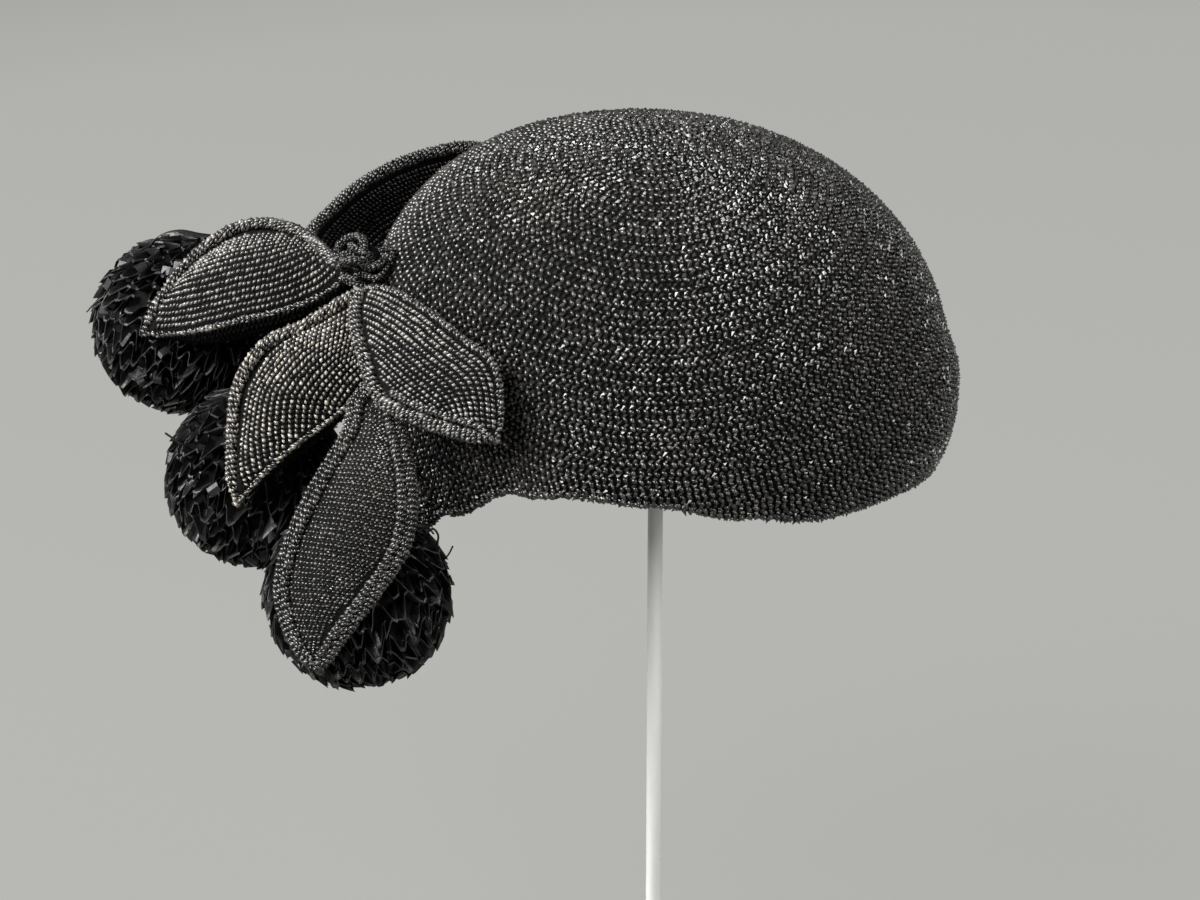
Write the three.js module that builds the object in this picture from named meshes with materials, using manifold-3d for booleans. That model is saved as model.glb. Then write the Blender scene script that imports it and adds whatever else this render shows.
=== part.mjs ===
// A plaited-straw cap with straw leaves and balls at its back, on a rod stand.
// Sizes are in millimetres and +Z is up. The foot rests on Z = 0, the rod stands on the Z axis, and the
// front of the cap is +X. Heights of the cap are given from DATUM, a level near its lower edge.
import * as THREE from "three";
import { mergeVertices } from "three/addons/utils/BufferGeometryUtils.js";
import Module from "manifold-3d";

const wasm = await Module();
wasm.setup();

const GAP = 0.35; // clearance between neighbouring pieces
const DATUM = 255;

const CROWN = {
  centreX: -2,
  front: 118, // half lengths and half width of the plan oval
  back: 114,
  half: 93,
  level: 35, // height of the widest level
  rise: 101, // from there to the top
  wall: 2,
  domeShare: 0.68, // share of each meridian that lies above the widest level
  around: 54,
  down: 15,
};

// Lower edge of the cap, by plan angle from the front: its height, and how far it turns in.
const RIM = [
  { angle: 0, height: -4, turnIn: 9 },
  { angle: 30, height: -2, turnIn: 8 },
  { angle: 55, height: -3, turnIn: 7 },
  { angle: 73, height: 2, turnIn: 6 },
  { angle: 90, height: 9, turnIn: 4 },
  { angle: 106, height: 12, turnIn: 3 },
  { angle: 120, height: 8, turnIn: 3 },
  { angle: 141, height: -8, turnIn: 3 },
  { angle: 153, height: -19, turnIn: 3 },
  { angle: 180, height: -21, turnIn: 4 },
];

const BULGE = { reach: 4, top: 56, fade: 22, spread: 65 }; // front swell below the kink
const PINCH = { depth: 9, top: 80, fade: 45, from: 108, to: 124, out: 146, end: 176 };

// Leaves: edge points on both sides of each section, the bow of the section, and the two ends.
const LEAVES = {
  leaf_1: {
    base: [-114, -12, 78],
    tip: [-52, 80, 93],
    sections: [
      { left: [-138, 15, 86], right: [-110, 12, 62], bow: 5 },
      { left: [-130, 32, 93], right: [-109, 30, 54], bow: 10 },
      { left: [-114, 48, 102], right: [-101, 46, 52], bow: 12 },
      { left: [-94, 63, 107], right: [-90, 62, 57], bow: 11 },
      { left: [-72, 75, 107], right: [-70, 74, 72], bow: 6 },
    ],
  },
  leaf_2: {
    base: [-118, -22, 82],
    tip: [-204, 7, 46],
    sections: [
      { left: [-133, 3, 86], right: [-127, -19, 67], bow: 8 },
      { left: [-149, 16, 89], right: [-143, -19, 58], bow: 12 },
      { left: [-164, 20, 87], right: [-159, -18, 56], bow: 12 },
      { left: [-180, 19, 77], right: [-176, -12, 52], bow: 10 },
      { left: [-194, 14, 61], right: [-192, 0, 47], bow: 5 },
    ],
  },
  leaf_3: {
    base: [-113, -28, 78],
    tip: [-163, -48, -6],
    sections: [
      { left: [-136, -29, 63], right: [-108, -36, 60], bow: 6 },
      { left: [-154, -30, 54], right: [-108, -41, 47], bow: 9 },
      { left: [-164, -31, 38], right: [-115.5, -46, 33], bow: 10 },
      { left: [-166, -36, 19], right: [-132, -50, 20], bow: 7 },
      { left: [-165, -43, 5], right: [-150, -52, 7], bow: 4 },
    ],
  },
  leaf_4: {
    base: [-94, -39, 46],
    tip: [-127, -105, -52],
    sections: [
      { left: [-118.5, -64, 31], right: [-95, -68, 33], bow: 3 },
      { left: [-135.5, -78, 13], right: [-90, -87, 16], bow: 7 },
      { left: [-145, -84, -7], right: [-93, -96, -2], bow: 9 },
      { left: [-148, -89, -25], right: [-104, -101, -19], bow: 8 },
      { left: [-140, -97, -43], right: [-117, -105, -37], bow: 4 },
    ],
  },
  leaf_5: {
    base: [-112, -32, 78],
    tip: [-60, -92, 36],
    sections: [
      { left: [-116, -44, 68], right: [-102, -42, 81], bow: 3 },
      { left: [-112, -56, 55], right: [-87, -60, 79], bow: 6 },
      { left: [-105, -68, 43], right: [-73, -76, 73], bow: 7 },
      { left: [-86, -81, 38], right: [-61, -85, 66], bow: 6 },
      { left: [-71, -89, 36], right: [-58, -90, 50], bow: 3 },
    ],
  },
};
const LEAF = { sheet: 2, bead: 2.4, rows: 13 };

// Balls: centre, radius, and the degrees that the rings of folds are tipped by.
const BALLS = {
  ball_1: { at: [-193, 46, 38.5], radius: 36.5, tip: 28 },
  ball_2: { at: [-159.5, -5, -9], radius: 36.5, tip: 20 },
  ball_3: { at: [-115.5, -65, -35], radius: 36.5, tip: -17 },
};
const FOLDS = { rings: 9, around: 26, depth: 2.6 };

const KNOT = { at: [-113, -24, 86], radius: 11, loops: 6, cord: 2.4 };

// Stems run from each ball up to the back of the cap, under the leaves.
const STEM = { radius: 1.6 };
const STEMS = {
  stem_1: { ball: "ball_1", path: [[-155, 25, 58], [-130, 10, 62], [-104, 0, 58]] },
  stem_2: { ball: "ball_2", path: [[-141, -2, 30], [-124, 1, 33], [-104, 0, 33]] },
  stem_3: { ball: "ball_3", path: [[-106, -54, 2], [-90, -38, 10]] },
};

const STAND = { rod: 3.05, foot: 80, footThick: 10, padRadius: 44, padTaper: 6, padDrop: 34 };

const vec = (x, y, z) => new THREE.Vector3(x, y, z);
const place = ([x, y, z]) => vec(x, y, z + DATUM);
const ease = (t) => {
  const u = Math.min(1, Math.max(0, t));
  return u * u * (3 - 2 * u);
};

// Column value at an angle, eased between the rows of a table that is sorted by angle.
function columnAt(rows, angle, column) {
  const k = Math.max(1, rows.findIndex((row) => row.angle >= angle));
  const [low, high] = [rows[k - 1], rows[k]];
  const t = ease((angle - low.angle) / (high.angle - low.angle));
  return low[column] + t * (high[column] - low[column]);
}

// One closed solid from rings of equally many points, closed by a point at each end.
function loft(first, rings, last) {
  const count = rings[0].length;
  const points = [first, ...rings.flat(), last];
  const at = (ring, k) => 1 + ring * count + (k % count);
  const index = [];
  for (let k = 0; k < count; k++) {
    index.push(0, at(0, k), at(0, k + 1));
    for (let r = 0; r + 1 < rings.length; r++) {
      index.push(at(r, k), at(r + 1, k), at(r + 1, k + 1));
      index.push(at(r, k), at(r + 1, k + 1), at(r, k + 1));
    }
    index.push(at(rings.length - 1, k), points.length - 1, at(rings.length - 1, k + 1));
  }
  const made = solidFrom(points.flatMap((p) => p.toArray()), index);
  return made.volume() > 0 ? made : solidFrom(points.flatMap((p) => p.toArray()), index.reverse());
}

function solidFrom(positions, index) {
  return new wasm.Manifold(
    new wasm.Mesh({
      numProp: 3,
      vertProperties: new Float32Array(positions),
      triVerts: new Uint32Array(index),
    }),
  );
}

function solidOf(geometry) {
  const plain = geometry.clone();
  plain.deleteAttribute("normal");
  plain.deleteAttribute("uv");
  const merged = mergeVertices(plain, 1e-4);
  return solidFrom(merged.attributes.position.array, merged.index.array);
}

function geometryOf(solid) {
  const mesh = solid.getMesh();
  const geometry = new THREE.BufferGeometry();
  geometry.setAttribute("position", new THREE.BufferAttribute(mesh.vertProperties, 3));
  geometry.setIndex(new THREE.BufferAttribute(mesh.triVerts, 1));
  geometry.computeVertexNormals();
  return geometry;
}

// Point on the outside of the crown: turn is the plan angle, share runs from the top (0) to the edge (1).
function crownOutside(turn, share) {
  const [c, s] = [Math.cos(turn), Math.sin(turn)];
  const angle = THREE.MathUtils.radToDeg(Math.acos(Math.min(1, Math.max(-1, c))));
  const power = 2 / (2.25 - 0.2 * c);
  const edge = columnAt(RIM, angle, "height");
  let [reach, height, down] = [1, 0, 0];
  if (share < CROWN.domeShare) {
    const tilt = (share / CROWN.domeShare) * (Math.PI / 2);
    reach = Math.sin(tilt) ** power;
    height = CROWN.level + CROWN.rise * Math.cos(tilt) ** power;
  } else {
    down = (share - CROWN.domeShare) / (1 - CROWN.domeShare);
    height = CROWN.level + down * (edge - CROWN.level);
  }
  const swell = BULGE.reach * ease(1 - angle / BULGE.spread) * ease((BULGE.top - height) / BULGE.fade);
  const side = ease((angle - PINCH.from) / (PINCH.to - PINCH.from)) *
    (1 - ease((angle - PINCH.out) / (PINCH.end - PINCH.out)));
  const pinch = PINCH.depth * side * ease((PINCH.top - height) / PINCH.fade);
  const push = swell - pinch - columnAt(RIM, angle, "turnIn") * down ** 3;
  const half = c > 0 ? CROWN.front : CROWN.back;
  return place([CROWN.centreX + (half * reach + push) * c, (CROWN.half * reach + push) * s, height]);
}

// The same point moved along the outward normal by offset.
function crownPoint(turn, share, offset) {
  const step = 0.004;
  const low = Math.max(0.02, share - step);
  const along = crownOutside(turn, Math.min(1, low + 2 * step)).sub(crownOutside(turn, low));
  const round = crownOutside(turn + step, low).sub(crownOutside(turn - step, low));
  const normal = along.cross(round).normalize();
  return crownOutside(turn, share).addScaledVector(normal, offset);
}

function crownRings(offset, around, down) {
  const shares = Array.from({ length: down }, (_, k) => (k + 1) / down);
  return shares.map((share) =>
    Array.from({ length: around }, (_, k) => crownPoint((2 * Math.PI * k) / around, share, offset)),
  );
}

function crownTop(offset) {
  return place([CROWN.centreX, 0, CROWN.level + CROWN.rise + offset]);
}

function buildCrown() {
  const outer = crownRings(0, CROWN.around, CROWN.down);
  const inner = crownRings(-CROWN.wall, CROWN.around, CROWN.down);
  return loft(crownTop(0), [...outer, ...inner.reverse()], crownTop(-CROWN.wall));
}

// Everything inside the crown's outer face, swollen by GAP: cut from what is seated on the crown.
function crownCutter() {
  const rings = crownRings(GAP, CROWN.around, CROWN.down);
  const low = rings[rings.length - 1];
  const centre = low.reduce((sum, p) => sum.add(p), vec(0, 0, 0)).divideScalar(low.length);
  return loft(crownTop(GAP), rings, centre);
}

// Section of a leaf at share u: a bowed sheet with a round bead along both edges.
function leafSection(leaf, u, toTip) {
  const left = toTip.left.getPoint(u);
  const right = toTip.right.getPoint(u);
  const width = right.distanceTo(left);
  const across = right.clone().sub(left).normalize();
  const forward = toTip.middle.getTangent(u);
  const up = forward.clone().cross(across).normalize();
  const bow = toTip.bow(u);
  const bead = Math.min(LEAF.bead, width / 3.2);
  const half = LEAF.sheet / 2;
  const at = (x, y) => left.clone().addScaledVector(across, x).addScaledVector(up, y);
  const arch = (t) => bow * 4 * t * (1 - t);
  const [near, far] = [bead / width, 1 - bead / width];
  const inner = [0.02, 0.26, 0.5, 0.74, 0.98].map((t) => near + (far - near) * t);
  const ring = [];
  for (const a of [-90, -135, 180, 135, 90, 45]) {
    const r = THREE.MathUtils.degToRad(a);
    ring.push(at(bead + bead * Math.cos(r), bead * Math.sin(r)));
  }
  for (const t of inner) ring.push(at(t * width, arch(t) + half));
  for (const a of [135, 90, 45, 0, -45, -90]) {
    const r = THREE.MathUtils.degToRad(a);
    ring.push(at(width - bead + bead * Math.cos(r), bead * Math.sin(r)));
  }
  for (const t of [...inner].reverse()) ring.push(at(t * width, arch(t) - half));
  return ring;
}

function buildLeaf(leaf) {
  const [base, tip] = [place(leaf.base), place(leaf.tip)];
  const edge = (side) =>
    new THREE.CatmullRomCurve3([base, ...leaf.sections.map((s) => place(s[side])), tip], false, "centripetal");
  const middle = leaf.sections.map((s) => place(s.left).add(place(s.right)).multiplyScalar(0.5));
  const bows = [0, ...leaf.sections.map((s) => s.bow), 0];
  const curves = {
    left: edge("left"),
    right: edge("right"),
    middle: new THREE.CatmullRomCurve3([base, ...middle, tip], false, "centripetal"),
    bow: (u) => {
      const k = Math.min(bows.length - 2, Math.floor(u * (bows.length - 1)));
      return THREE.MathUtils.lerp(bows[k], bows[k + 1], u * (bows.length - 1) - k);
    },
  };
  const shares = Array.from({ length: LEAF.rows }, (_, k) => 0.06 + (0.9 * k) / (LEAF.rows - 1));
  return loft(base, shares.map((u) => leafSection(leaf, u, curves)), tip);
}

// A ball of folded ribbon: rings of folds round a tipped axis, each fold a ridge between two valleys.
function buildBall({ at, radius, tip }, grow = 0) {
  const rows = FOLDS.rings * 2;
  const rings = [];
  for (let row = 1; row < rows; row++) {
    const polar = (Math.PI * row) / rows;
    rings.push(
      Array.from({ length: FOLDS.around }, (_, k) => {
        const raised = row % 2 ? (k + (row - 1) / 2) % 2 : 0.35;
        const turn = (2 * Math.PI * k) / FOLDS.around;
        const reach = radius - FOLDS.depth * (1 - raised) + grow;
        return vec(Math.sin(polar) * Math.cos(turn), Math.sin(polar) * Math.sin(turn), Math.cos(polar))
          .multiplyScalar(reach);
      }),
    );
  }
  const end = radius - FOLDS.depth + grow;
  return loft(vec(0, 0, end), rings, vec(0, 0, -end)).rotate([0, tip, 0]).translate(place(at).toArray());
}

function tube(path, radius, sides) {
  const curve = new THREE.CatmullRomCurve3(path.map(place));
  const geometry = new THREE.TubeGeometry(curve, path.length * 2, radius, sides, false);
  return closeTube(geometry, curve, sides);
}

// TubeGeometry leaves its ends open, so its rings are lofted again between the two end points.
function closeTube(geometry, curve, sides) {
  const position = geometry.attributes.position;
  const rings = [];
  for (let start = 0; start < position.count; start += sides + 1)
    rings.push(Array.from({ length: sides }, (_, k) => vec().fromBufferAttribute(position, start + k)));
  return loft(curve.getPoint(0), rings, curve.getPoint(1));
}

// Knot: a round heart with loops of straw cord standing from it, cut to sit on the crown.
function buildKnot(cutter) {
  const heart = solidOf(new THREE.IcosahedronGeometry(KNOT.radius - 2, 1));
  let knot = heart;
  for (let k = 0; k < KNOT.loops; k++) {
    const ring = new THREE.TorusGeometry(KNOT.radius * 0.62, KNOT.cord, 6, 10);
    ring.rotateX(0.9 * k + 0.4);
    ring.rotateZ((2 * Math.PI * k) / KNOT.loops);
    ring.translate(
      KNOT.radius * 0.38 * Math.cos(2.4 * k),
      KNOT.radius * 0.38 * Math.sin(2.4 * k),
      KNOT.radius * 0.3 * Math.cos(1.7 * k),
    );
    knot = knot.add(solidOf(ring));
  }
  return knot.translate(place(KNOT.at).toArray()).subtract(cutter);
}

// A stem starts inside its ball and ends inside the crown, and both are cut from it with a gap.
function buildStem({ ball, path }, cutter) {
  const start = BALLS[ball];
  const from = vec(...start.at);
  const way = vec(...path[0]).sub(from).normalize();
  const root = from.addScaledVector(way, start.radius - FOLDS.depth - 2);
  return tube([root.toArray(), ...path], STEM.radius, 8).subtract(cutter).subtract(buildBall(start, 1.2 * GAP));
}

// Convex skin round a solid, a little way off it.
function swollenHull(solid, by) {
  const moves = [[by, 0, 0], [-by, 0, 0], [0, by, 0], [0, -by, 0], [0, 0, by], [0, 0, -by]];
  return wasm.Manifold.hull(moves.map((move) => solid.translate(move)));
}

// Largest body of a solid, for pieces that a cut leaves with crumbs.
function largest(solid) {
  return solid.decompose().reduce((a, b) => (b.volume() > a.volume() ? b : a));
}

function buildStand() {
  const rodTop = DATUM + CROWN.level + CROWN.rise - STAND.padDrop;
  const rod = new THREE.CylinderGeometry(STAND.rod, STAND.rod, rodTop - STAND.footThick - 2 * GAP, 20);
  rod.rotateX(Math.PI / 2).translate(0, 0, (rodTop + STAND.footThick) / 2);
  const foot = new THREE.CylinderGeometry(STAND.foot, STAND.foot, STAND.footThick, 48);
  foot.rotateX(Math.PI / 2).translate(0, 0, STAND.footThick / 2);
  const under = crownRings(-CROWN.wall - GAP, CROWN.around, CROWN.down);
  const low = under[under.length - 1];
  const centre = low.reduce((sum, p) => sum.add(p), vec(0, 0, 0)).divideScalar(low.length);
  const hollow = loft(crownTop(-CROWN.wall - GAP), under, centre);
  const tall = 2 * STAND.padDrop;
  const block = new THREE.CylinderGeometry(STAND.padRadius, STAND.padRadius - STAND.padTaper, tall, 32);
  block.rotateX(Math.PI / 2).translate(0, 0, rodTop + tall / 2);
  return { stand_rod: solidOf(rod), stand_base: solidOf(foot), stand_pad: solidOf(block).intersect(hollow) };
}

const COLOURS = { straw: 0x1d1b1a, ribbon: 0x141416, rod: 0xd9dbd8, steel: 0xc9cac7, pad: 0xe4e0d8 };
const finish = (color, roughness) => new THREE.MeshStandardMaterial({ color, roughness, metalness: 0 });
const straw = finish(COLOURS.straw, 0.45);
const ribbon = finish(COLOURS.ribbon, 0.4);

const root = new THREE.Group();
function put(name, solid, material) {
  const mesh = new THREE.Mesh(geometryOf(solid), material);
  mesh.name = name;
  root.add(mesh);
}

const cutter = crownCutter();
const knot = largest(buildKnot(cutter));
put("crown", buildCrown(), straw);
put("knot", knot, straw);
const knotCut = swollenHull(knot, GAP);
for (const [name, leaf] of Object.entries(LEAVES))
  put(name, largest(buildLeaf(leaf).subtract(cutter).subtract(knotCut)), straw);
for (const [name, ball] of Object.entries(BALLS)) put(name, buildBall(ball), ribbon);
for (const [name, stem] of Object.entries(STEMS)) put(name, largest(buildStem(stem, cutter)), straw);
const stand = buildStand();
put("stand_pad", stand.stand_pad, finish(COLOURS.pad, 0.8));
put("stand_rod", stand.stand_rod, finish(COLOURS.rod, 0.4));
put("stand_base", stand.stand_base, finish(COLOURS.steel, 0.5));

export default root;
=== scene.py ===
"""A plaited-straw cap with straw leaves and pleated balls at its back, on a rod stand.

Sizes are in millimetres where a name doesn't say otherwise. Heights of the cap count from DATUM, a level
near its lower edge. Meshes are made in metres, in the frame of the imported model.
"""
import logging
import math
from dataclasses import dataclass, field, replace
from enum import Enum
from typing import ClassVar, Protocol

import bmesh
import bpy
import numpy as np
from mathutils import Matrix, Vector
from mathutils.bvhtree import BVHTree


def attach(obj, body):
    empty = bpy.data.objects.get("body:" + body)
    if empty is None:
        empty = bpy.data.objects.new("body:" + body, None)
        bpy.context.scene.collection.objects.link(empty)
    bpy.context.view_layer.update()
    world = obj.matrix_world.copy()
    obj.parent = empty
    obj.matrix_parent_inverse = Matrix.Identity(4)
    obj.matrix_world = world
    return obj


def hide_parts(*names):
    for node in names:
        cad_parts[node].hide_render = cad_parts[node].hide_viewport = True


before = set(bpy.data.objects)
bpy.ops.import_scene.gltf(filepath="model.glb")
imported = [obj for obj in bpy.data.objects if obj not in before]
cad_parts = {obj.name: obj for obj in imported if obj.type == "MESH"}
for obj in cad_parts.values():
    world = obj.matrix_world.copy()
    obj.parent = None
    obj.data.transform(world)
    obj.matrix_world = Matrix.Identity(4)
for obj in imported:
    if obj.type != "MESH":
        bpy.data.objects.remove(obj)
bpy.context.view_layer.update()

MM = 0.001
GAP = 0.35  # clearance between neighbouring pieces
DATUM = 255.0
BODY = "root"
LOG = logging.getLogger("cap")

Point = tuple[float, float, float]
Colour = tuple[float, float, float]
Socket = bpy.types.NodeSocket
Work = bmesh.types.BMesh


def unit(vectors: np.ndarray) -> np.ndarray:
    """Returns the vectors at length one.

    Args:
        vectors: vectors along the last axis.
    """
    return vectors / np.maximum(np.linalg.norm(vectors, axis=-1, keepdims=True), 1e-9)


def eased(t: np.ndarray) -> np.ndarray:
    """Returns t from 0 to 1, eased at both ends."""
    u = np.clip(t, 0.0, 1.0)
    return u * u * (3 - 2 * u)


def placed(points: np.ndarray) -> np.ndarray:
    """Returns cap points, whose heights count from DATUM, in the frame of the model."""
    return np.asarray(points, float) + np.array([0.0, 0.0, DATUM])


# Surfaces


class Surface(Protocol):
    """A surface that is read by two parameters: a runs along the rows of the plait, b across them."""

    def point(self, a: np.ndarray, b: np.ndarray) -> np.ndarray:
        """Returns the surface points."""

    def normal(self, a: np.ndarray, b: np.ndarray) -> np.ndarray:
        """Returns the outward normals."""


@dataclass
class CrownForm:
    """Outside of the crown, by plan angle (turn) and share of the way from the top to the edge."""

    centre_x: float = -2.0
    front: float = 118.0
    back: float = 114.0
    half: float = 93.0
    level: float = 35.0
    rise: float = 101.0
    dome_share: float = 0.68
    fullness: float = 2.25  # exponent of the dome's section, where 2 is an ellipse
    fuller_back: float = 0.2  # how much more it is at the back, and less in front
    # angle from the front, height of the edge, how far the edge turns in
    rim: tuple[Point, ...] = (
        (0, -4, 9), (30, -2, 8), (55, -3, 7), (73, 2, 6), (90, 9, 4),
        (106, 12, 3), (120, 8, 3), (141, -8, 3), (153, -19, 3), (180, -21, 4),
    )
    bulge: tuple[float, float, float, float] = (4, 56, 22, 65)  # reach, top, fade, spread
    pinch: tuple[float, ...] = (9, 80, 45, 108, 124, 146, 176)  # depth, top, fade, from, to, out, end

    def rim_value(self, angle: np.ndarray, column: int) -> np.ndarray:
        """Reads a column of the rim table, eased between its rows.

        Args:
            angle: degrees from the front, 0 to 180.
            column: 1 for the height, 2 for how far the edge turns in.

        Returns:
            The values.
        """
        rows = np.array(self.rim, float)
        k = np.clip(np.searchsorted(rows[:, 0], angle), 1, len(rows) - 1)
        t = eased((angle - rows[k - 1, 0]) / (rows[k, 0] - rows[k - 1, 0]))
        return rows[k - 1, column] + t * (rows[k, column] - rows[k - 1, column])

    def outside(self, turn: np.ndarray, share: np.ndarray) -> np.ndarray:
        """Places points on the outer face.

        Args:
            turn: plan angle in radians.
            share: 0 at the top, 1 at the edge.

        Returns:
            The points.
        """
        turn, share = np.broadcast_arrays(np.asarray(turn, float), np.asarray(share, float))
        c, s = np.cos(turn), np.sin(turn)
        angle = np.degrees(np.arccos(np.clip(c, -1, 1)))
        power = 2 / (self.fullness - self.fuller_back * c)
        tilt = np.clip(share / self.dome_share, 0, 1) * math.pi / 2
        above = share < self.dome_share
        down = np.where(above, 0.0, (share - self.dome_share) / (1 - self.dome_share))
        reach = np.where(above, np.maximum(np.sin(tilt), 1e-12) ** power, 1.0)
        dome = self.level + self.rise * np.maximum(np.cos(tilt), 1e-12) ** power
        height = np.where(above, dome, self.level + down * (self.rim_value(angle, 1) - self.level))
        swell_by, swell_top, swell_fade, spread = self.bulge
        swell = swell_by * eased(1 - angle / spread) * eased((swell_top - height) / swell_fade)
        depth, top, fade, start, full, leave, end = self.pinch
        side = eased((angle - start) / (full - start)) * (1 - eased((angle - leave) / (end - leave)))
        push = swell - depth * side * eased((top - height) / fade) - self.rim_value(angle, 2) * down**3
        length = np.where(c > 0, self.front, self.back)
        x = self.centre_x + (length * reach + push) * c
        y = (self.half * reach + push) * s
        return np.stack([x, y, height + DATUM], axis=-1)

    def out(self, turn: np.ndarray, share: np.ndarray) -> np.ndarray:
        """Finds the outward normals of the outer face.

        Args:
            turn: plan angle in radians.
            share: 0 at the top, 1 at the edge.

        Returns:
            The normals.
        """
        step = 0.004
        low = np.maximum(0.02, share - step)
        along = self.outside(turn, np.minimum(1, low + 2 * step)) - self.outside(turn, low)
        round_it = self.outside(turn + step, low) - self.outside(turn - step, low)
        return unit(np.cross(along, round_it))


@dataclass
class CrownSheet:
    """The crown read from the centre of its rows, which lies a little towards the viewer from the top."""

    form: CrownForm
    offset: float = 0.0
    pole: tuple[float, float] = (0.0, -0.112)

    def disc(self, a: np.ndarray, b: np.ndarray) -> tuple[np.ndarray, np.ndarray]:
        """Returns plan angle and share, from the direction a round the row centre and the way b outwards."""
        x = self.pole[0] + b * (np.cos(a) - self.pole[0])
        y = self.pole[1] + b * (np.sin(a) - self.pole[1])
        return np.arctan2(y, x), np.minimum(np.hypot(x, y), 1.0)

    def point(self, a: np.ndarray, b: np.ndarray) -> np.ndarray:
        """Returns points at the sheet's offset from the outer face."""
        turn, share = self.disc(a, b)
        return self.form.outside(turn, share) + self.offset * self.form.out(turn, share)

    def normal(self, a: np.ndarray, b: np.ndarray) -> np.ndarray:
        """Returns the outward normals."""
        return self.form.out(*self.disc(a, b))


class EdgeCurve:
    """A smooth curve through points, tight where they are close together."""

    def __init__(self, points: np.ndarray) -> None:
        """Keeps the points, with one more beyond each end.

        Args:
            points: the points that the curve goes through.
        """
        p = np.asarray(points, float)
        self.spans = len(p) - 1
        self.p = np.vstack([2 * p[0] - p[1], p, 2 * p[-1] - p[-2]])

    def at(self, u: np.ndarray) -> np.ndarray:
        """Places points on the curve.

        Args:
            u: share of the curve, where each span takes an equal share.

        Returns:
            The points.
        """
        place = np.clip(np.asarray(u, float), 0, 1) * self.spans
        k = np.minimum(place.astype(int), self.spans - 1)
        w = (place - k)[..., None]
        p0, p1, p2, p3 = (self.p[k + step] for step in range(4))
        d0, d1, d2 = (
            np.sqrt(np.linalg.norm(b - a, axis=-1, keepdims=True)) for a, b in ((p0, p1), (p1, p2), (p2, p3))
        )
        m1 = ((p1 - p0) / d0 - (p2 - p0) / (d0 + d1) + (p2 - p1) / d1) * d1
        m2 = ((p2 - p1) / d1 - (p3 - p1) / (d1 + d2) + (p3 - p2) / d2) * d1
        c2 = -3 * p1 + 3 * p2 - 2 * m1 - m2
        c3 = 2 * p1 - 2 * p2 + m1 + m2
        return p1 + m1 * w + c2 * w**2 + c3 * w**3


class Bent:
    """A sheet whose normals follow from its points."""

    step: ClassVar[float] = 0.01
    ends: ClassVar[tuple[float, float]] = (-math.inf, math.inf)  # least and most of b

    def normal(self, a: np.ndarray, b: np.ndarray) -> np.ndarray:
        """Finds the normals of the outer face.

        Args:
            a: share of the way to the tip.
            b: share of the way across.

        Returns:
            The normals.
        """
        low, high = self.ends
        ahead = self.point(np.minimum(1, a + self.step), b) - self.point(np.maximum(0, a - self.step), b)
        after, before = np.minimum(high, b + self.step), np.maximum(low, b - self.step)
        return unit(np.cross(ahead, self.point(a, after) - self.point(a, before)))


@dataclass
class LeafForm(Bent):
    """A bowed leaf between two edge curves that meet at its base and its tip."""

    base: Point
    tip: Point
    sections: tuple[tuple[Point, Point, float], ...]  # left edge, right edge, bow
    low: float = 0.03
    high: float = 0.99
    flat: float = 2.0
    bowed: float = 0.85

    def __post_init__(self) -> None:
        """Makes the edge curves and the middle curve."""
        base, tip = [placed(self.base)], [placed(self.tip)]
        left = [placed(section[0]) for section in self.sections]
        right = [placed(section[1]) for section in self.sections]
        middle = [(a + b) / 2 for a, b in zip(left, right)]
        self.left, self.right, self.middle = (EdgeCurve(base + row + tip) for row in (left, right, middle))
        self.bows = np.array([0, *(section[2] for section in self.sections), 0], float)

    def ribs(self, u: np.ndarray) -> tuple[np.ndarray, ...]:
        """Measures the leaf across.

        Args:
            u: shares of the edge curves.

        Returns:
            The left edge, the way across, the way up, the width and the bow.
        """
        left, right = self.left.at(u), self.right.at(u)
        width = np.linalg.norm(right - left, axis=-1)
        across = unit(right - left)
        forward = self.middle.at(np.minimum(1, u + 1e-3)) - self.middle.at(np.maximum(0, u - 1e-3))
        up = unit(np.cross(unit(forward), across))
        bow = np.interp(u, np.linspace(0, 1, len(self.bows)), self.bows)
        return left, across, up, width, self.bowed * bow

    def arch(self, bow: np.ndarray, b: np.ndarray) -> np.ndarray:
        """Returns how far the sheet bows out at share b of its width, level beside both edges."""
        return bow * np.clip(4 * b * (1 - b), 0, 1) ** self.flat

    def point(self, a: np.ndarray, b: np.ndarray) -> np.ndarray:
        """Places points on the middle of the sheet.

        Args:
            a: share of the way to the tip.
            b: share of the way from left to right.

        Returns:
            The points.
        """
        a, b = np.broadcast_arrays(np.asarray(a, float), np.asarray(b, float))
        u = self.low + (self.high - self.low) * a
        left, across, up, width, bow = self.ribs(u)
        return left + across * (b * width)[..., None] + up * self.arch(bow, b)[..., None]


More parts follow.
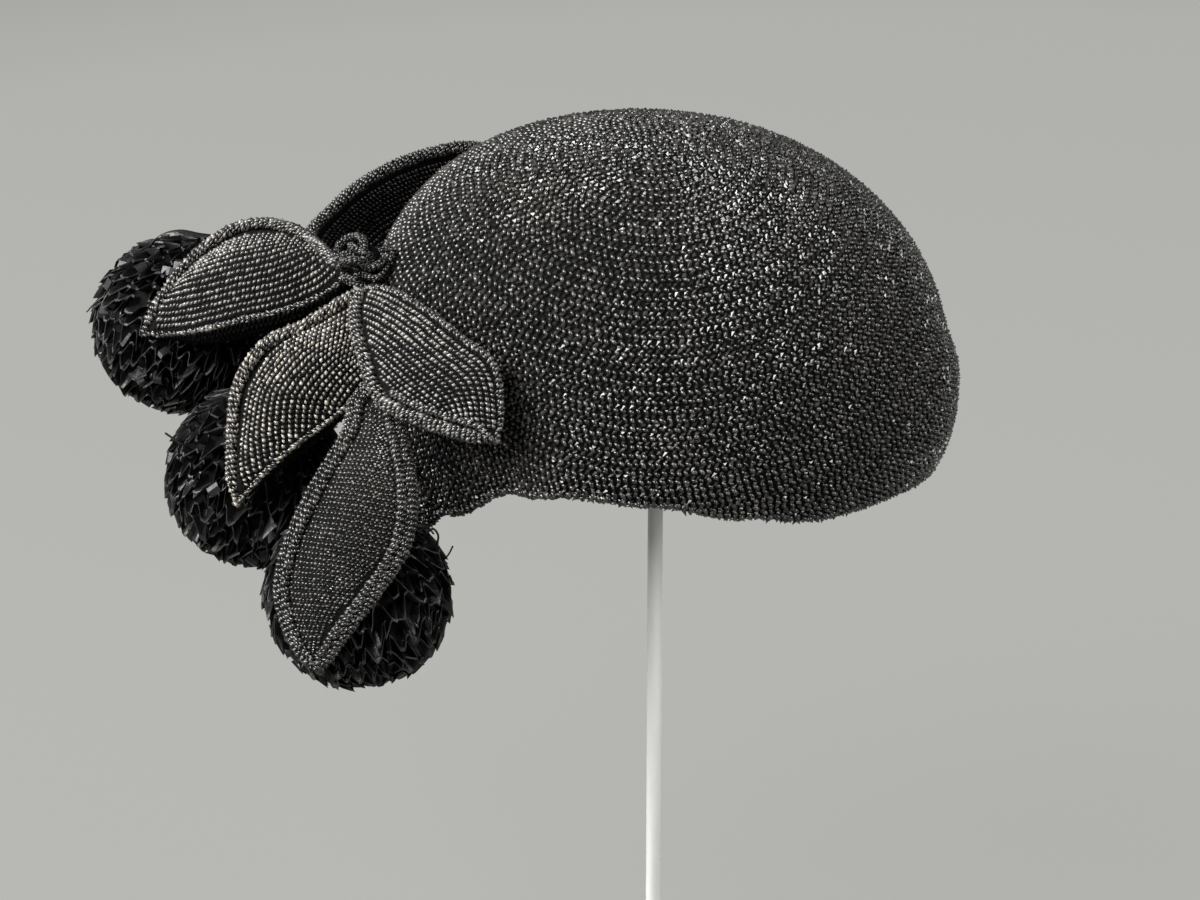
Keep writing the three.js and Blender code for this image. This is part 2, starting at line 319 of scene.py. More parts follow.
@dataclass
class UnderFold(Bent):
    """The strip of a leaf that curls under beyond its right edge."""

    ends: ClassVar[tuple[float, float]] = (0.0, 1.0)

    leaf: LeafForm
    width: float = 14.0
    start: float = -62.0  # degrees that it first turns down by, and by how many more at its end
    turn: float = -70.0
    steps: int = 24
    full_at: float = 30.0  # width of the leaf from which the strip has its full size
    least: float = 0.1
    inside: float = 1.6  # how far within the edge it starts

    def profile(self) -> np.ndarray:
        """Returns the curled section, as ways across and up from the edge."""
        heading = np.radians(self.start + self.turn * np.linspace(0, 1, self.steps))
        step = self.width / self.steps * np.stack([np.cos(heading), np.sin(heading)], axis=-1)
        return np.vstack([[0.0, 0.0], np.cumsum(step, axis=0)])

    def point(self, a: np.ndarray, b: np.ndarray) -> np.ndarray:
        """Places points on the strip.

        Args:
            a: share of the way to the tip.
            b: share of the way from the edge to the strip's end.

        Returns:
            The points.
        """
        a, b = np.broadcast_arrays(np.asarray(a, float), np.asarray(b, float))
        u = self.leaf.low + (self.leaf.high - self.leaf.low) * a
        left, across, up, width, _ = self.leaf.ribs(u)
        section = self.profile()
        share = np.linspace(0, 1, len(section))
        size = np.clip(width / self.full_at, self.least, 1)
        x = np.interp(b, share, section[:, 0]) * size + width - np.minimum(self.inside, width / 2)
        y = np.interp(b, share, section[:, 1]) * size
        return left + across * x[..., None] + up * y[..., None]


@dataclass
class Recounted:
    """A leaf whose rows run across it from edge to edge, or else are counted from its right edge."""

    leaf: LeafForm
    across: bool

    def own(self, a: np.ndarray, b: np.ndarray) -> tuple[np.ndarray, np.ndarray]:
        """Returns the leaf's own parameters for those of the rows."""
        return (b, a) if self.across else (a, 1 - np.asarray(b, float))

    def point(self, a: np.ndarray, b: np.ndarray) -> np.ndarray:
        """Returns points, at share a along the rows and b across them."""
        return self.leaf.point(*self.own(a, b))

    def normal(self, a: np.ndarray, b: np.ndarray) -> np.ndarray:
        """Returns normals, at share a along the rows and b across them."""
        return self.leaf.normal(*self.own(a, b))


# Stitches


@dataclass
class Places:
    """Where stitches sit: points, ways along the row, and ways out of the surface."""

    point: np.ndarray
    along: np.ndarray
    out: np.ndarray

    def stray(self, rng: np.random.Generator, spread: float) -> None:
        """Moves the places a little along and across their rows.

        Args:
            rng: source of the small differences.
            spread: standard distance of the move.
        """
        by = rng.normal(0, spread, (len(self.point), 2))
        self.point = self.point + self.along * by[:, :1] + np.cross(self.out, self.along) * by[:, 1:]

    def kept(self, mask: np.ndarray) -> "Places":
        """Returns the places where the mask is true."""
        return Places(self.point[mask], self.along[mask], self.out[mask])


@dataclass
class RowPlan:
    """Rows at an even pitch over a surface, with stitches at an even pitch along each row."""

    pitch: float = 3.5
    stitch: float = 2.8
    first: float = 1.75
    last: float = 0.0
    slide: float = 0.0
    closed: bool = False

    def rows(
        self, surface: Surface, a: np.ndarray, b: np.ndarray, aside: float = 0.0, ahead: float = 0.0
    ) -> Places:
        """Lays the stitches of every row.

        Args:
            surface: what carries the rows.
            a: values along the rows, from where the stitches are counted.
            b: values across the rows, from where the rows are counted.
            aside: how far each row is moved across.
            ahead: how far each stitch is moved along, as a share of a stitch.

        Returns:
            The places of all stitches.
        """
        grid = surface.point(a[:, None], b[None, :])
        steps = np.linalg.norm(np.diff(grid, axis=1), axis=-1)
        depth = np.concatenate([np.zeros((len(a), 1)), np.cumsum(steps, axis=1)], axis=1)
        limit = depth[:, -1] - self.last
        found: list[tuple[np.ndarray, ...]] = []
        for row, distance in enumerate(np.arange(self.first + aside, limit.max(), self.pitch)):
            if distance <= 0:
                continue
            across = np.array([np.interp(distance, depth[i], b) for i in range(len(a))])
            line = surface.point(a, across)
            length = lengths(line)
            count = max(3, round(length[-1] / self.stitch))
            step = length[-1] / count if self.closed else self.stitch
            at = (np.arange(count) + 0.5 + ahead) * step + (row * self.slide) % step
            at = at % length[-1] if self.closed else at[at < length[-1]]
            inside = np.interp(at, length, (distance <= limit).astype(float)) > 0.5
            at = at[inside]
            if len(at):
                here = np.interp(at, length, a)
                way = np.gradient(line, axis=0)
                along = np.stack([np.interp(at, length, way[:, i]) for i in range(3)], axis=-1)
                found.append((here, np.interp(here, a, across), along))
        here, there, along = (np.concatenate(part) for part in zip(*found))
        out = surface.normal(here, there)
        along = unit(along - out * np.sum(along * out, axis=-1, keepdims=True))
        return Places(surface.point(here, there), along, out)


@dataclass
class Stamp:
    """A small closed form, about 2 long, 2 wide and 1 high, that is copied many times."""

    points: np.ndarray
    faces: list[tuple[int, ...]]

    @staticmethod
    def block(corners: int, sink: float) -> tuple[Work, list[bmesh.types.BMVert]]:
        """Starts a form that is level on top.

        Args:
            corners: corners of its outline.
            sink: depth of its underside as a share of its height.

        Returns:
            The block, and the vertices of its top, which lie at height 0.
        """
        work = bmesh.new()
        bmesh.ops.create_circle(work, cap_ends=True, segments=corners, radius=1)
        bmesh.ops.rotate(work, verts=work.verts, matrix=Matrix.Rotation(math.pi / 2, 3, "Z"))
        grown = bmesh.ops.extrude_face_region(work, geom=work.faces[:], use_keep_orig=True)["geom"]
        raised = [v for v in grown if isinstance(v, bmesh.types.BMVert)]
        lower = [v for v in work.verts if v not in raised]
        bmesh.ops.translate(work, verts=lower, vec=(0, 0, -sink))
        return work, raised

    @classmethod
    def pad(cls, corners: int, top: float, sink: float = 0.6) -> "Stamp":
        """Makes a flat-topped pad of straw.

        Args:
            corners: corners of its outline.
            top: size of its flat top as a share of the outline.
            sink: depth of its underside as a share of its height.

        Returns:
            The stamp.
        """
        work, raised = cls.block(corners, sink)
        bmesh.ops.translate(work, verts=raised, vec=(0, 0, 1))
        bmesh.ops.scale(work, verts=raised, vec=(top, top, 1))
        bmesh.ops.recalc_face_normals(work, faces=work.faces)
        return cls.taken(work)

    @classmethod
    def peak(cls, corners: int, sink: float = 0.6, shift: Point = (0.3, 0.15, 1.0)) -> "Stamp":
        """Makes a pointed grain of straw, which is steeper at one end.

        Args:
            corners: corners of its outline.
            sink: depth of its underside as a share of its height.
            shift: where its point lies, from the middle of its outline.

        Returns:
            The stamp.
        """
        work, raised = cls.block(corners, sink)
        top = [face for face in work.faces if all(vert in raised for vert in face.verts)]
        crest = bmesh.ops.poke(work, faces=top)["verts"]
        bmesh.ops.translate(work, verts=crest, vec=shift)
        bmesh.ops.recalc_face_normals(work, faces=work.faces)
        return cls.taken(work)

    @classmethod
    def fold(cls, wall: float = 0.07) -> "Stamp":
        """Makes a short ribbon that is bent along three creases.

        Args:
            wall: its thickness.

        Returns:
            The stamp.
        """
        work = bmesh.new()
        bmesh.ops.create_grid(work, x_segments=4, y_segments=1, size=1)
        for vert in work.verts:
            vert.co.z = {-1.0: -0.5, -0.5: 0.55, 0.0: 0.75, 0.5: 0.35, 1.0: -0.8}[round(vert.co.x, 1)]
        thickened(work, wall)
        bmesh.ops.recalc_face_normals(work, faces=work.faces)
        return cls.taken(work)

    @classmethod
    def taken(cls, work: Work) -> "Stamp":
        """Takes the form from a bmesh, which is freed.

        Args:
            work: the bmesh.

        Returns:
            The stamp.
        """
        work.verts.index_update()
        points = np.array([v.co[:] for v in work.verts])
        faces = [tuple(v.index for v in face.verts) for face in work.faces]
        work.free()
        return cls(points, faces)


class Gathering:
    """One mesh that is gathered from many small closed forms, with a tone for each of them."""

    size_spread: ClassVar[float] = 0.14
    turn_spread: ClassVar[float] = 0.6  # share of the wobble that a stitch may turn by in its own plane

    def __init__(self) -> None:
        """Starts an empty mesh."""
        self.points: list[np.ndarray] = []
        self.loops: list[np.ndarray] = []
        self.sizes: list[np.ndarray] = []
        self.smooth: list[np.ndarray] = []
        self.tones: list[np.ndarray] = []
        self.shades: list[np.ndarray] = []
        self.count = 0

    def add(
        self, points: np.ndarray, faces: list[tuple[int, ...]], tone: np.ndarray, smooth: bool = True,
        shade: bool = False,
    ) -> None:
        """Adds copies of one form.

        Args:
            points: points of each copy, copies first.
            faces: faces of one copy.
            tone: one tone for each copy, or for each point of a single copy.
            smooth: whether the faces are shaded smooth.
            shade: whether they take the painted-shade ground, the near-black material under the stitches.
        """
        copies, each = points.shape[:2]
        loops = np.concatenate([np.array(face) for face in faces])
        starts = self.count + each * np.arange(copies)
        self.points.append(points.reshape(-1, 3))
        self.loops.append((starts[:, None] + loops[None, :]).reshape(-1))
        self.sizes.append(np.tile([len(face) for face in faces], copies))
        self.smooth.append(np.full(len(faces) * copies, smooth))
        self.tones.append(np.repeat(tone, each) if len(tone) == copies else tone)
        self.shades.append(np.full(len(faces) * copies, int(shade)))
        self.count += copies * each

    def add_stitches(
        self, stamp: Stamp, at: Places, size: np.ndarray, lean: float, tone: np.ndarray,
        rng: np.random.Generator, wobble: float = 8.0, smooth: bool = True, shade: bool = False,
    ) -> None:
        """Adds a stamp at every place.

        Args:
            stamp: the form of one stitch.
            at: the places.
            size: half length, half width and height, for all or for each.
            lean: degrees that the length is turned from the row, anticlockwise as seen from outside.
            tone: tone of each stitch.
            rng: source of the small differences.
            wobble: spread of the tilts in degrees.
            smooth: whether they are shaded smooth.
            shade: whether they take the painted-shade ground.
        """
        n = len(at.point)
        turn = np.radians(lean + rng.normal(0, wobble * self.turn_spread, n))[:, None]
        side = np.cross(at.out, at.along)
        x = at.along * np.cos(turn) + side * np.sin(turn)
        tilt = np.radians(rng.normal(0, wobble, (n, 2)))
        z = unit(at.out + x * tilt[:, :1] + side * tilt[:, 1:])
        x = unit(x - z * np.sum(x * z, axis=-1, keepdims=True))
        y = np.cross(z, x)
        size = np.broadcast_to(size, (n, 3)) * rng.normal(1, self.size_spread, (n, 3))
        local = stamp.points[None] * size[:, None, :]
        basis = np.stack([x, y, z], axis=1)
        points = at.point[:, None] + np.einsum("nki,nij->nkj", local, basis)
        self.add(points, stamp.faces, tone, smooth, shade)

    def add_work(
        self, work: Work, tone: float | np.ndarray, smooth: bool = True, shade: bool = False
    ) -> None:
        """Adds a bmesh as it is, and frees it.

        Args:
            work: the bmesh.
            tone: its tone, for all or for each vertex.
            smooth: whether the faces are shaded smooth.
            shade: whether it takes the painted-shade ground.
        """
        form = Stamp.taken(work)
        self.add(form.points[None], form.faces, np.atleast_1d(tone), smooth, shade)

    def finish(self, name: str, finish: "Finish", slot: str) -> bpy.types.Object:
        """Makes the object of all that was gathered.

        Args:
            name: the piece's name.
            finish: its material.
            slot: the name of a material slot, which is not set here; given, it makes the object ride on the
                body.

        Returns:
            The object, riding on the body.
        """
        mesh = bpy.data.meshes.new(name)
        points, loops = np.concatenate(self.points) * MM, np.concatenate(self.loops)
        sizes = np.concatenate(self.sizes)
        mesh.vertices.add(len(points))
        mesh.loops.add(len(loops))
        mesh.polygons.add(len(sizes))
        mesh.vertices.foreach_set("co", points.astype(np.float32).reshape(-1))
        mesh.loops.foreach_set("vertex_index", loops.astype(np.int32))
        starts = np.concatenate([[0], np.cumsum(sizes)[:-1]])
        mesh.polygons.foreach_set("loop_start", starts.astype(np.int32))
        mesh.update(calc_edges=True)
        mesh.polygons.foreach_set("use_smooth", np.concatenate(self.smooth))
        layer = mesh.attributes.new("tone", "FLOAT", "POINT")
        layer.data.foreach_set("value", np.concatenate(self.tones).astype(np.float32))
        made = dressed(name, mesh, finish, slot)
        shades = np.concatenate(self.shades)
        # the faces marked shade take the near-black painted-shade ground as a second material
        if shades.any():
            mesh.materials.append(material_of(PaintedShadeFinish()))
            mesh.polygons.foreach_set("material_index", shades.astype(np.int32))
        mesh.update()
        return made


# Finishes


class Shader:
    """A material's nodes, with one principled surface."""

    def __init__(self, name: str, colour: Colour, roughness: float) -> None:
        """Makes the material.

        Args:
            name: its name.
            colour: base colour, linear.
            roughness: roughness where no node sets it.
        """
        self.material = bpy.data.materials.new(name)
        self.material.use_nodes = True
        self.nodes = self.material.node_tree.nodes
        self.surface = self.nodes["Principled BSDF"]
        self.surface.inputs["Base Color"].default_value = (*colour, 1)
        self.surface.inputs["Roughness"].default_value = roughness

    def constant(self, **values: float) -> None:
        """Sets plain values on the surface's own sockets, with _ for a space in their names."""
        for socket, value in values.items():
            self.surface.inputs[socket.replace("_", " ")].default_value = value

    def node(self, kind: str, inputs: dict[str, object] | None = None, **settings: object) -> bpy.types.Node:
        """Adds a node.

        Args:
            kind: the node's type.
            inputs: socket names with a number or the output that feeds them.
            settings: the node's own properties.

        Returns:
            The node.
        """
        made = self.nodes.new(kind)
        for key, value in settings.items():
            setattr(made, key, value)
        for socket, value in (inputs or {}).items():
            if isinstance(value, Socket):
                self.material.node_tree.links.new(value, made.inputs[socket])
            else:
                made.inputs[socket].default_value = value
        return made

    def feed(self, socket: str, output: Socket) -> None:
        """Links an output to a socket of the surface."""
        self.material.node_tree.links.new(output, self.surface.inputs[socket])

    def noise(self, scale: float, detail: float = 2.0, rough: float = 0.5) -> Socket:
        """Returns a noise over the object, in metres."""
        place = self.node("ShaderNodeTexCoord").outputs["Object"]
        inputs = {"Vector": place, "Scale": scale, "Detail": detail, "Roughness": rough}
        return self.node("ShaderNodeTexNoise", inputs).outputs["Fac"]

    def ramp(self, source: Socket, stops: list[tuple[float, Colour]]) -> Socket:
        """Colours a value.

        Args:
            source: the value.
            stops: places from 0 to 1 with their linear colours.

        Returns:
            The socket of the colour.
        """
        made = self.node("ShaderNodeValToRGB", {"Fac": source})
        elements = made.color_ramp.elements
        elements[0].position, elements[1].position = stops[0][0], stops[-1][0]
        for place, _ in stops[1:-1]:
            elements.new(place)
        for element, (_, colour) in zip(elements, stops):
            element.color = (*colour, 1)
        return made.outputs["Color"]

    def between(self, source: Socket, low: float, high: float, a: float, b: float) -> Socket:
        """Returns the source's range from low to high moved to a to b."""
        inputs = {"Value": source, "From Min": low, "From Max": high, "To Min": a, "To Max": b}
        return self.node("ShaderNodeMapRange", inputs).outputs["Result"]

    def bump(self, height: Socket, depth: float, strength: float) -> None:
        """Gives the surface a relief of a depth in metres."""
        made = self.node("ShaderNodeBump", {"Height": height, "Distance": depth, "Strength": strength})
        self.feed("Normal", made.outputs["Normal"])


class Finish(Protocol):
    """Something that makes a material."""

    name: str

    def make(self) -> bpy.types.Material:
        """Makes the material.

        Returns:
            The material.
        """


@dataclass(frozen=True)
class StrawFinish:
    """Black lacquered straw, worn thin to brown in places; its grey and pale copies are lighter partly by
    painted light.
    """

    # the colour sockets of a mix node, whose other sockets have the same names
    mix_from: ClassVar[int] = 6
    mix_to: ClassVar[int] = 7
    mix_out: ClassVar[int] = 2

    name: str = "black_straw"
    dark: Colour = (0.0025, 0.0024, 0.0024)
    light: Colour = (0.010, 0.0095, 0.0088)
    bright: Colour = (0.042, 0.039, 0.0355)
    worn: Colour = (0.045, 0.038, 0.031)
    smooth_at: float = 0.20
    rough_at: float = 0.34
    coat: float = 0.34

    def make(self) -> bpy.types.Material:
        """Makes the material: tone sets gloss and depth of black, a wide noise the worn patches.

        Returns:
            The material.
        """
        shader = Shader(self.name, self.dark, 0.4)
        tone = shader.node("ShaderNodeAttribute", attribute_name="tone").outputs["Fac"]
        plain = shader.ramp(tone, [(0.0, self.dark), (0.65, self.light), (1.0, self.bright)])
        patches = shader.between(shader.noise(26, 4, 0.6), 0.52, 0.78, 0.0, 0.55)
        inputs = {"Factor": patches, self.mix_from: plain, self.mix_to: (*self.worn, 1)}
        mixed = shader.node("ShaderNodeMix", inputs, data_type="RGBA")
        shader.feed("Base Color", mixed.outputs[self.mix_out])
        shader.feed("Roughness", shader.between(tone, 0.0, 1.0, self.rough_at, self.smooth_at))
        shader.bump(shader.noise(2600, 2, 0.6), 0.0001, 0.5)
        shader.constant(Coat_Weight=self.coat, Coat_Roughness=0.2, Coat_IOR=1.5, Specular_IOR_Level=0.4)
        return shader.material


@dataclass(frozen=True)
class PaintedShadeFinish:
    """Dull black straw that lies deep between the stitches, painted near-black and almost without gloss:
    painted shade for the gaps, over the straw's own black.
    """

    name: str = "painted_shade_straw"
    dark: Colour = (0.0008, 0.0008, 0.0008)
    light: Colour = (0.0030, 0.0028, 0.0026)

    def make(self) -> bpy.types.Material:
        """Makes the material.

        Returns:
            The material.
        """
        shader = Shader(self.name, self.dark, 0.9)
        grain = shader.noise(700, 3, 0.7)
        shader.feed("Base Color", shader.ramp(grain, [(0.35, self.dark), (0.7, self.light)]))
        shader.bump(shader.noise(1500, 2, 0.6), 0.0002, 0.6)
        # painted shade: the near-black colour and the low specular level stand in for the shade in the
        # hollows
        shader.constant(Specular_IOR_Level=0.08)
        return shader.material


@dataclass(frozen=True)
class RibbonFinish:
    """Black satin ribbon of straw braid, with fine lines along it, and a painted highlight along the crests
    of its folds where the tone is high.
    """

    name: str = "black_ribbon"
    dark: Colour = (0.0034, 0.0033, 0.0033)
    # painted highlight: the colour of the crests of the folds, where the tone is high
    light: Colour = (0.013, 0.0127, 0.0124)
    roughness: float = 0.36

    def make(self) -> bpy.types.Material:
        """Makes the material.

        Returns:
            The material.
        """
        shader = Shader(self.name, self.dark, self.roughness)
        tone = shader.node("ShaderNodeAttribute", attribute_name="tone").outputs["Fac"]
        # painted highlight: the tone rises along the crests of the folds and lightens them
        shader.feed("Base Color", shader.ramp(tone, [(0.0, self.dark), (0.6, self.dark), (1.0, self.light)]))
        shader.feed("Roughness", shader.between(shader.noise(300, 3, 0.6), 0.3, 0.7, 0.32, 0.5))
        shader.bump(shader.noise(1900, 3, 0.7), 0.00012, 0.5)
        shader.constant(Specular_IOR_Level=0.3)
        return shader.material


@dataclass(frozen=True)
class PaintFinish:
    """Pale satin paint on metal, with faint handling marks."""

    name: str
    colour: Colour
    marked: Colour
    roughness: float = 0.34

    def make(self) -> bpy.types.Material:
        """Makes the material.

        Returns:
            The material.
        """
        shader = Shader(self.name, self.colour, self.roughness)
        clouds = shader.noise(14, 5, 0.6)
        shader.feed("Base Color", shader.ramp(clouds, [(0.35, self.colour), (0.72, self.marked)]))
        marks, least, most = shader.noise(90, 4, 0.65), self.roughness - 0.07, self.roughness + 0.09
        shader.feed("Roughness", shader.between(marks, 0.3, 0.7, least, most))
        shader.bump(shader.noise(1400, 2, 0.5), 0.00003, 0.25)
        return shader.material


@dataclass(frozen=True)
class ClothFinish:
    """Undyed cotton jersey, with a fine rib."""

    name: str = "cotton_jersey"
    colour: Colour = (0.66, 0.63, 0.57)
    shade: Colour = (0.52, 0.49, 0.43)

    def make(self) -> bpy.types.Material:
        """Makes the material.

        Returns:
            The material.
        """
        shader = Shader(self.name, self.colour, 0.9)
        clouds = shader.noise(60, 4, 0.7)
        shader.feed("Base Color", shader.ramp(clouds, [(0.3, self.shade), (0.65, self.colour)]))
        place = shader.node("ShaderNodeTexCoord").outputs["Object"]
        rib = shader.node(
            "ShaderNodeTexWave", {"Vector": place, "Scale": 260.0, "Distortion": 1.5, "Detail": 1.0},
            wave_type="BANDS", bands_direction="DIAGONAL",
        )
        shader.bump(rib.outputs["Fac"], 0.0003, 0.6)
        shader.constant(Sheen_Weight=0.3, Sheen_Roughness=0.5)
        return shader.material


@dataclass(frozen=True)
class SweepFinish:
    """Matt paper of the floor and the wall round it, dark in its own colour and made pale by a painted glow
    of light, which also fills in the cap's shadow.
    """

    name: str = "glow_painted_paper"
    colour: Colour = (0.020, 0.020, 0.019)
    edge: Colour = (0.05, 0.05, 0.048)
    # painted light: the glow near the middle and further out, which makes the paper pale and fills in shadows
    glow: Colour = (0.408, 0.412, 0.388)
    dim: Colour = (0.270, 0.272, 0.262)

    def make(self) -> bpy.types.Material:
        """Makes the material, with its painted glow a little dimmer away from the middle.

        Returns:
            The material.
        """
        shader = Shader(self.name, self.colour, 0.95)
        place = shader.node("ShaderNodeTexCoord").outputs["Object"]
        middle = shader.node("ShaderNodeMapping", {"Vector": place, "Location": (-0.25, -0.9, 0)})
        reach = shader.node("ShaderNodeVectorMath", {0: middle.outputs["Vector"]}, operation="LENGTH")
        away = shader.between(reach.outputs["Value"], 1.05, 1.9, 0.0, 1.0)
        shader.feed("Base Color", shader.ramp(away, [(0.0, self.colour), (1.0, self.edge)]))
        # painted light: the glow is dimmer away from the middle, a painted fall-off
        shader.feed("Emission Color", shader.ramp(away, [(0.0, self.glow), (1.0, self.dim)]))
        shader.constant(Specular_IOR_Level=0.1, Emission_Strength=1.0)
        return shader.material


_made: dict[str, bpy.types.Material] = {}


def material_of(finish: Finish) -> bpy.types.Material:
    """Returns the finish's material, made once."""
    if finish.name not in _made:
        _made[finish.name] = finish.make()
    return _made[finish.name]


def dressed(name: str, mesh: bpy.types.Mesh, finish: Finish, slot: str | None) -> bpy.types.Object:
    """Makes an object of a finished mesh.

    Args:
        name: the piece's name.
        mesh: its mesh, in metres and in place.
        finish: its material.
        slot: the name of a material slot, which is not set here; given, it makes the object ride on the body,
            and None is for what isn't part of the object.

    Returns:
        The object.
    """
    made = bpy.data.objects.new(name, mesh)
    bpy.context.scene.collection.objects.link(made)
    mesh.materials.append(material_of(finish))
    if slot:
        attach(made, BODY)
    LOG.info("%s: %d faces", name, len(mesh.polygons))
    return made


def object_of(name: str, work: Work, finish: Finish, slot: str | None) -> bpy.types.Object:
    """Makes a smooth-shaded object of a bmesh in millimetres, which is freed.

    Args:
        name: the piece's name.
        work: the bmesh.
        finish: its material.
        slot: the name of a material slot, which is not set here; given, it makes the object ride on the body,
            and None is for what isn't part of the object.

    Returns:
        The object.
    """
    bmesh.ops.scale(work, verts=work.verts, vec=(MM, MM, MM))
    for face in work.faces:
        face.smooth = True
    mesh = bpy.data.meshes.new(name)
    work.to_mesh(mesh)
    work.free()
    return dressed(name, mesh, finish, slot)


# Mesh making


def draped(surface: Surface, a: np.ndarray, b: np.ndarray, lift: float = 0.0) -> Work:
    """Makes a grid that lies on a surface.

    Args:
        surface: what it lies on.
        a: values along it.
        b: values across it.
        lift: how far it stands off.

    Returns:
        The open sheet, with doubles merged and its faces towards the surface's outside.
    """
    work = bmesh.new()
    bmesh.ops.create_grid(work, x_segments=len(a) - 1, y_segments=len(b) - 1, size=1)
    ij = np.array([v.co[:2] for v in work.verts])
    i = np.rint((ij[:, 0] + 1) / 2 * (len(a) - 1)).astype(int)
    j = np.rint((ij[:, 1] + 1) / 2 * (len(b) - 1)).astype(int)
    at = surface.point(a[i], b[j]) + lift * surface.normal(a[i], b[j])
    for vert, place in zip(work.verts, at):
        vert.co = place
    bmesh.ops.remove_doubles(work, verts=work.verts, dist=0.01)
    bmesh.ops.dissolve_degenerate(work, edges=work.edges, dist=1e-4)
    middle = work.faces[:][len(work.faces) // 2]
    work.normal_update()
    near = np.argmin(np.linalg.norm(at - np.array(middle.calc_center_median()), axis=-1))
    if np.dot(surface.normal(a[i[near]], b[j[near]]), np.array(middle.normal)) < 0:
        bmesh.ops.reverse_faces(work, faces=work.faces)
    return work


def thickened(work: Work, thickness: float) -> Work:
    """Gives an open sheet a wall on its back and returns it."""
    bmesh.ops.solidify(work, geom=work.faces[:], thickness=thickness)
    return work


def carried(path: np.ndarray, first: np.ndarray | None = None) -> tuple[np.ndarray, np.ndarray, np.ndarray]:
    """Carries two ways across a path along it, which turn as little as they can.

    Args:
        path: points of the path.
        first: a way that the first crossing way should be near.

    Returns:
        The way along the path, and the two ways across it.
    """
    along = unit(np.gradient(path, axis=0))
    seed = np.array([0.31, 0.52, 0.79]) if first is None else np.asarray(first, float)
    across = np.zeros_like(path)
    for i, way in enumerate(along):
        seed = unit(seed - way * seed.dot(way))
        across[i] = seed
    return along, across, np.cross(along, across)


def tube(path: np.ndarray, radius: np.ndarray | float, sides: int = 8) -> Work:
    """Makes a closed round tube along a path.

    Args:
        path: points of its middle line.
        radius: its radius, for all or for each point.
        sides: faces round it.

    Returns:
        The tube.
    """
    _, x, y = carried(path)
    radius = np.broadcast_to(radius, len(path))
    work = bmesh.new()
    bmesh.ops.create_grid(work, x_segments=len(path) - 1, y_segments=sides, size=1)
    for vert in work.verts:
        i = round((vert.co.x + 1) / 2 * (len(path) - 1))
        turn = math.pi * (vert.co.y + 1)
        vert.co = path[i] + radius[i] * (math.cos(turn) * x[i] + math.sin(turn) * y[i])
    bmesh.ops.remove_doubles(work, verts=work.verts, dist=1e-3)
    bmesh.ops.holes_fill(work, edges=[edge for edge in work.edges if edge.is_boundary], sides=sides)
    bmesh.ops.recalc_face_normals(work, faces=work.faces)
    return work


def lengths(path: np.ndarray) -> np.ndarray:
    """Returns how far each point of a path is from its start, along the path."""
    return np.concatenate([[0], np.cumsum(np.linalg.norm(np.diff(path, axis=0), axis=-1))])


def evened(path: np.ndarray, step: float) -> np.ndarray:
    """Returns a path at even steps of about that length."""
    length = lengths(path)
    at = np.linspace(0, length[-1], max(3, round(length[-1] / step) + 1))
    return np.stack([np.interp(at, length, path[:, i]) for i in range(3)], axis=-1)


def turned(profile: list[tuple[float, float]], steps: int) -> Work:
    """Turns a profile about the rod's axis.

    Args:
        profile: radius and height of each point, from the axis outwards.
        steps: faces round it.

    Returns:
        The turned form.
    """
    work = bmesh.new()
    verts = [work.verts.new((radius, 0, height)) for radius, height in profile]
    edges = [work.edges.new(pair) for pair in zip(verts, verts[1:])]
    bmesh.ops.spin(
        work, geom=verts + edges, cent=(0, 0, 0), axis=(0, 0, 1), angle=2 * math.pi, steps=steps,
        use_merge=True,
    )
    bmesh.ops.remove_doubles(work, verts=work.verts, dist=1e-3)
    bmesh.ops.recalc_face_normals(work, faces=work.faces)
    return work


@dataclass
class Rope:
    """A cord that is wound with straw: a core in the near-black painted-shade ground, with stitches standing
    round it.
    """

    pitch: float = 2.3
    stitch: float = 2.2
    lean: float = 38.0
    rise: float = 0.95
    core: float = 0.80  # radius of the core, and of the circle that the stitches stand on, as shares
    seat: float = 0.78
    long: float = 0.76  # half length of a stitch as a share of the pitch, half width as a share of its own
    wide: float = 0.38
    stray: float = 0.12
    wobble: float = 15.0
    tones: tuple[float, float] = (1.1, 1.1)
    grain: Stamp = field(default_factory=lambda: Stamp.peak(4))

    def wind(
        self, into: Gathering, path: np.ndarray, radius: np.ndarray | float, rng: np.random.Generator,
        outside: "Clearance | None" = None,
    ) -> None:
        """Adds a wound cord to a mesh.

        Args:
            into: the mesh.
            path: points of its middle line.
            radius: its radius, for all or for each point.
            rng: source of the small differences.
            outside: what it has to stay clear of.
        """
        radius = np.broadcast_to(radius, len(path)).astype(float)
        length = lengths(path)
        count = max(2, round(length[-1] / self.pitch))
        core = tube(path, radius * self.core)
        if outside:
            outside.push(core)
        # painted shade: the core takes the near-black ground that shows between the stitches
        into.add_work(core, 0.0, shade=True)
        guides = (path, *carried(path))
        at = (np.arange(count) + 0.5) * length[-1] / count
        points, ways, outs = [], [], []
        for ring, place in enumerate(at):
            middle, way, u, v = (
                np.array([np.interp(place, length, row) for row in guide.T]) for guide in guides
            )
            size = np.interp(place, length, radius)
            around = max(4, round(2 * math.pi * size / self.stitch))
            for k in range(around):
                turn = 2 * math.pi * (k + 0.5 * (ring % 2)) / around
                out = math.cos(turn) * u + math.sin(turn) * v
                points.append(middle + out * size * self.seat)
                ways.append(way)
                outs.append(out)
        places = Places(np.array(points), unit(np.array(ways)), unit(np.array(outs)))
        if outside:
            places = places.kept(outside.clear(places.point, 0.0))
        size = np.array([self.pitch * self.long, self.stitch * self.wide, self.rise])
        tone = rng.beta(*self.tones, len(places.point))
        places.stray(rng, self.stray)
        into.add_stitches(self.grain, places, size, self.lean, tone, rng, self.wobble)


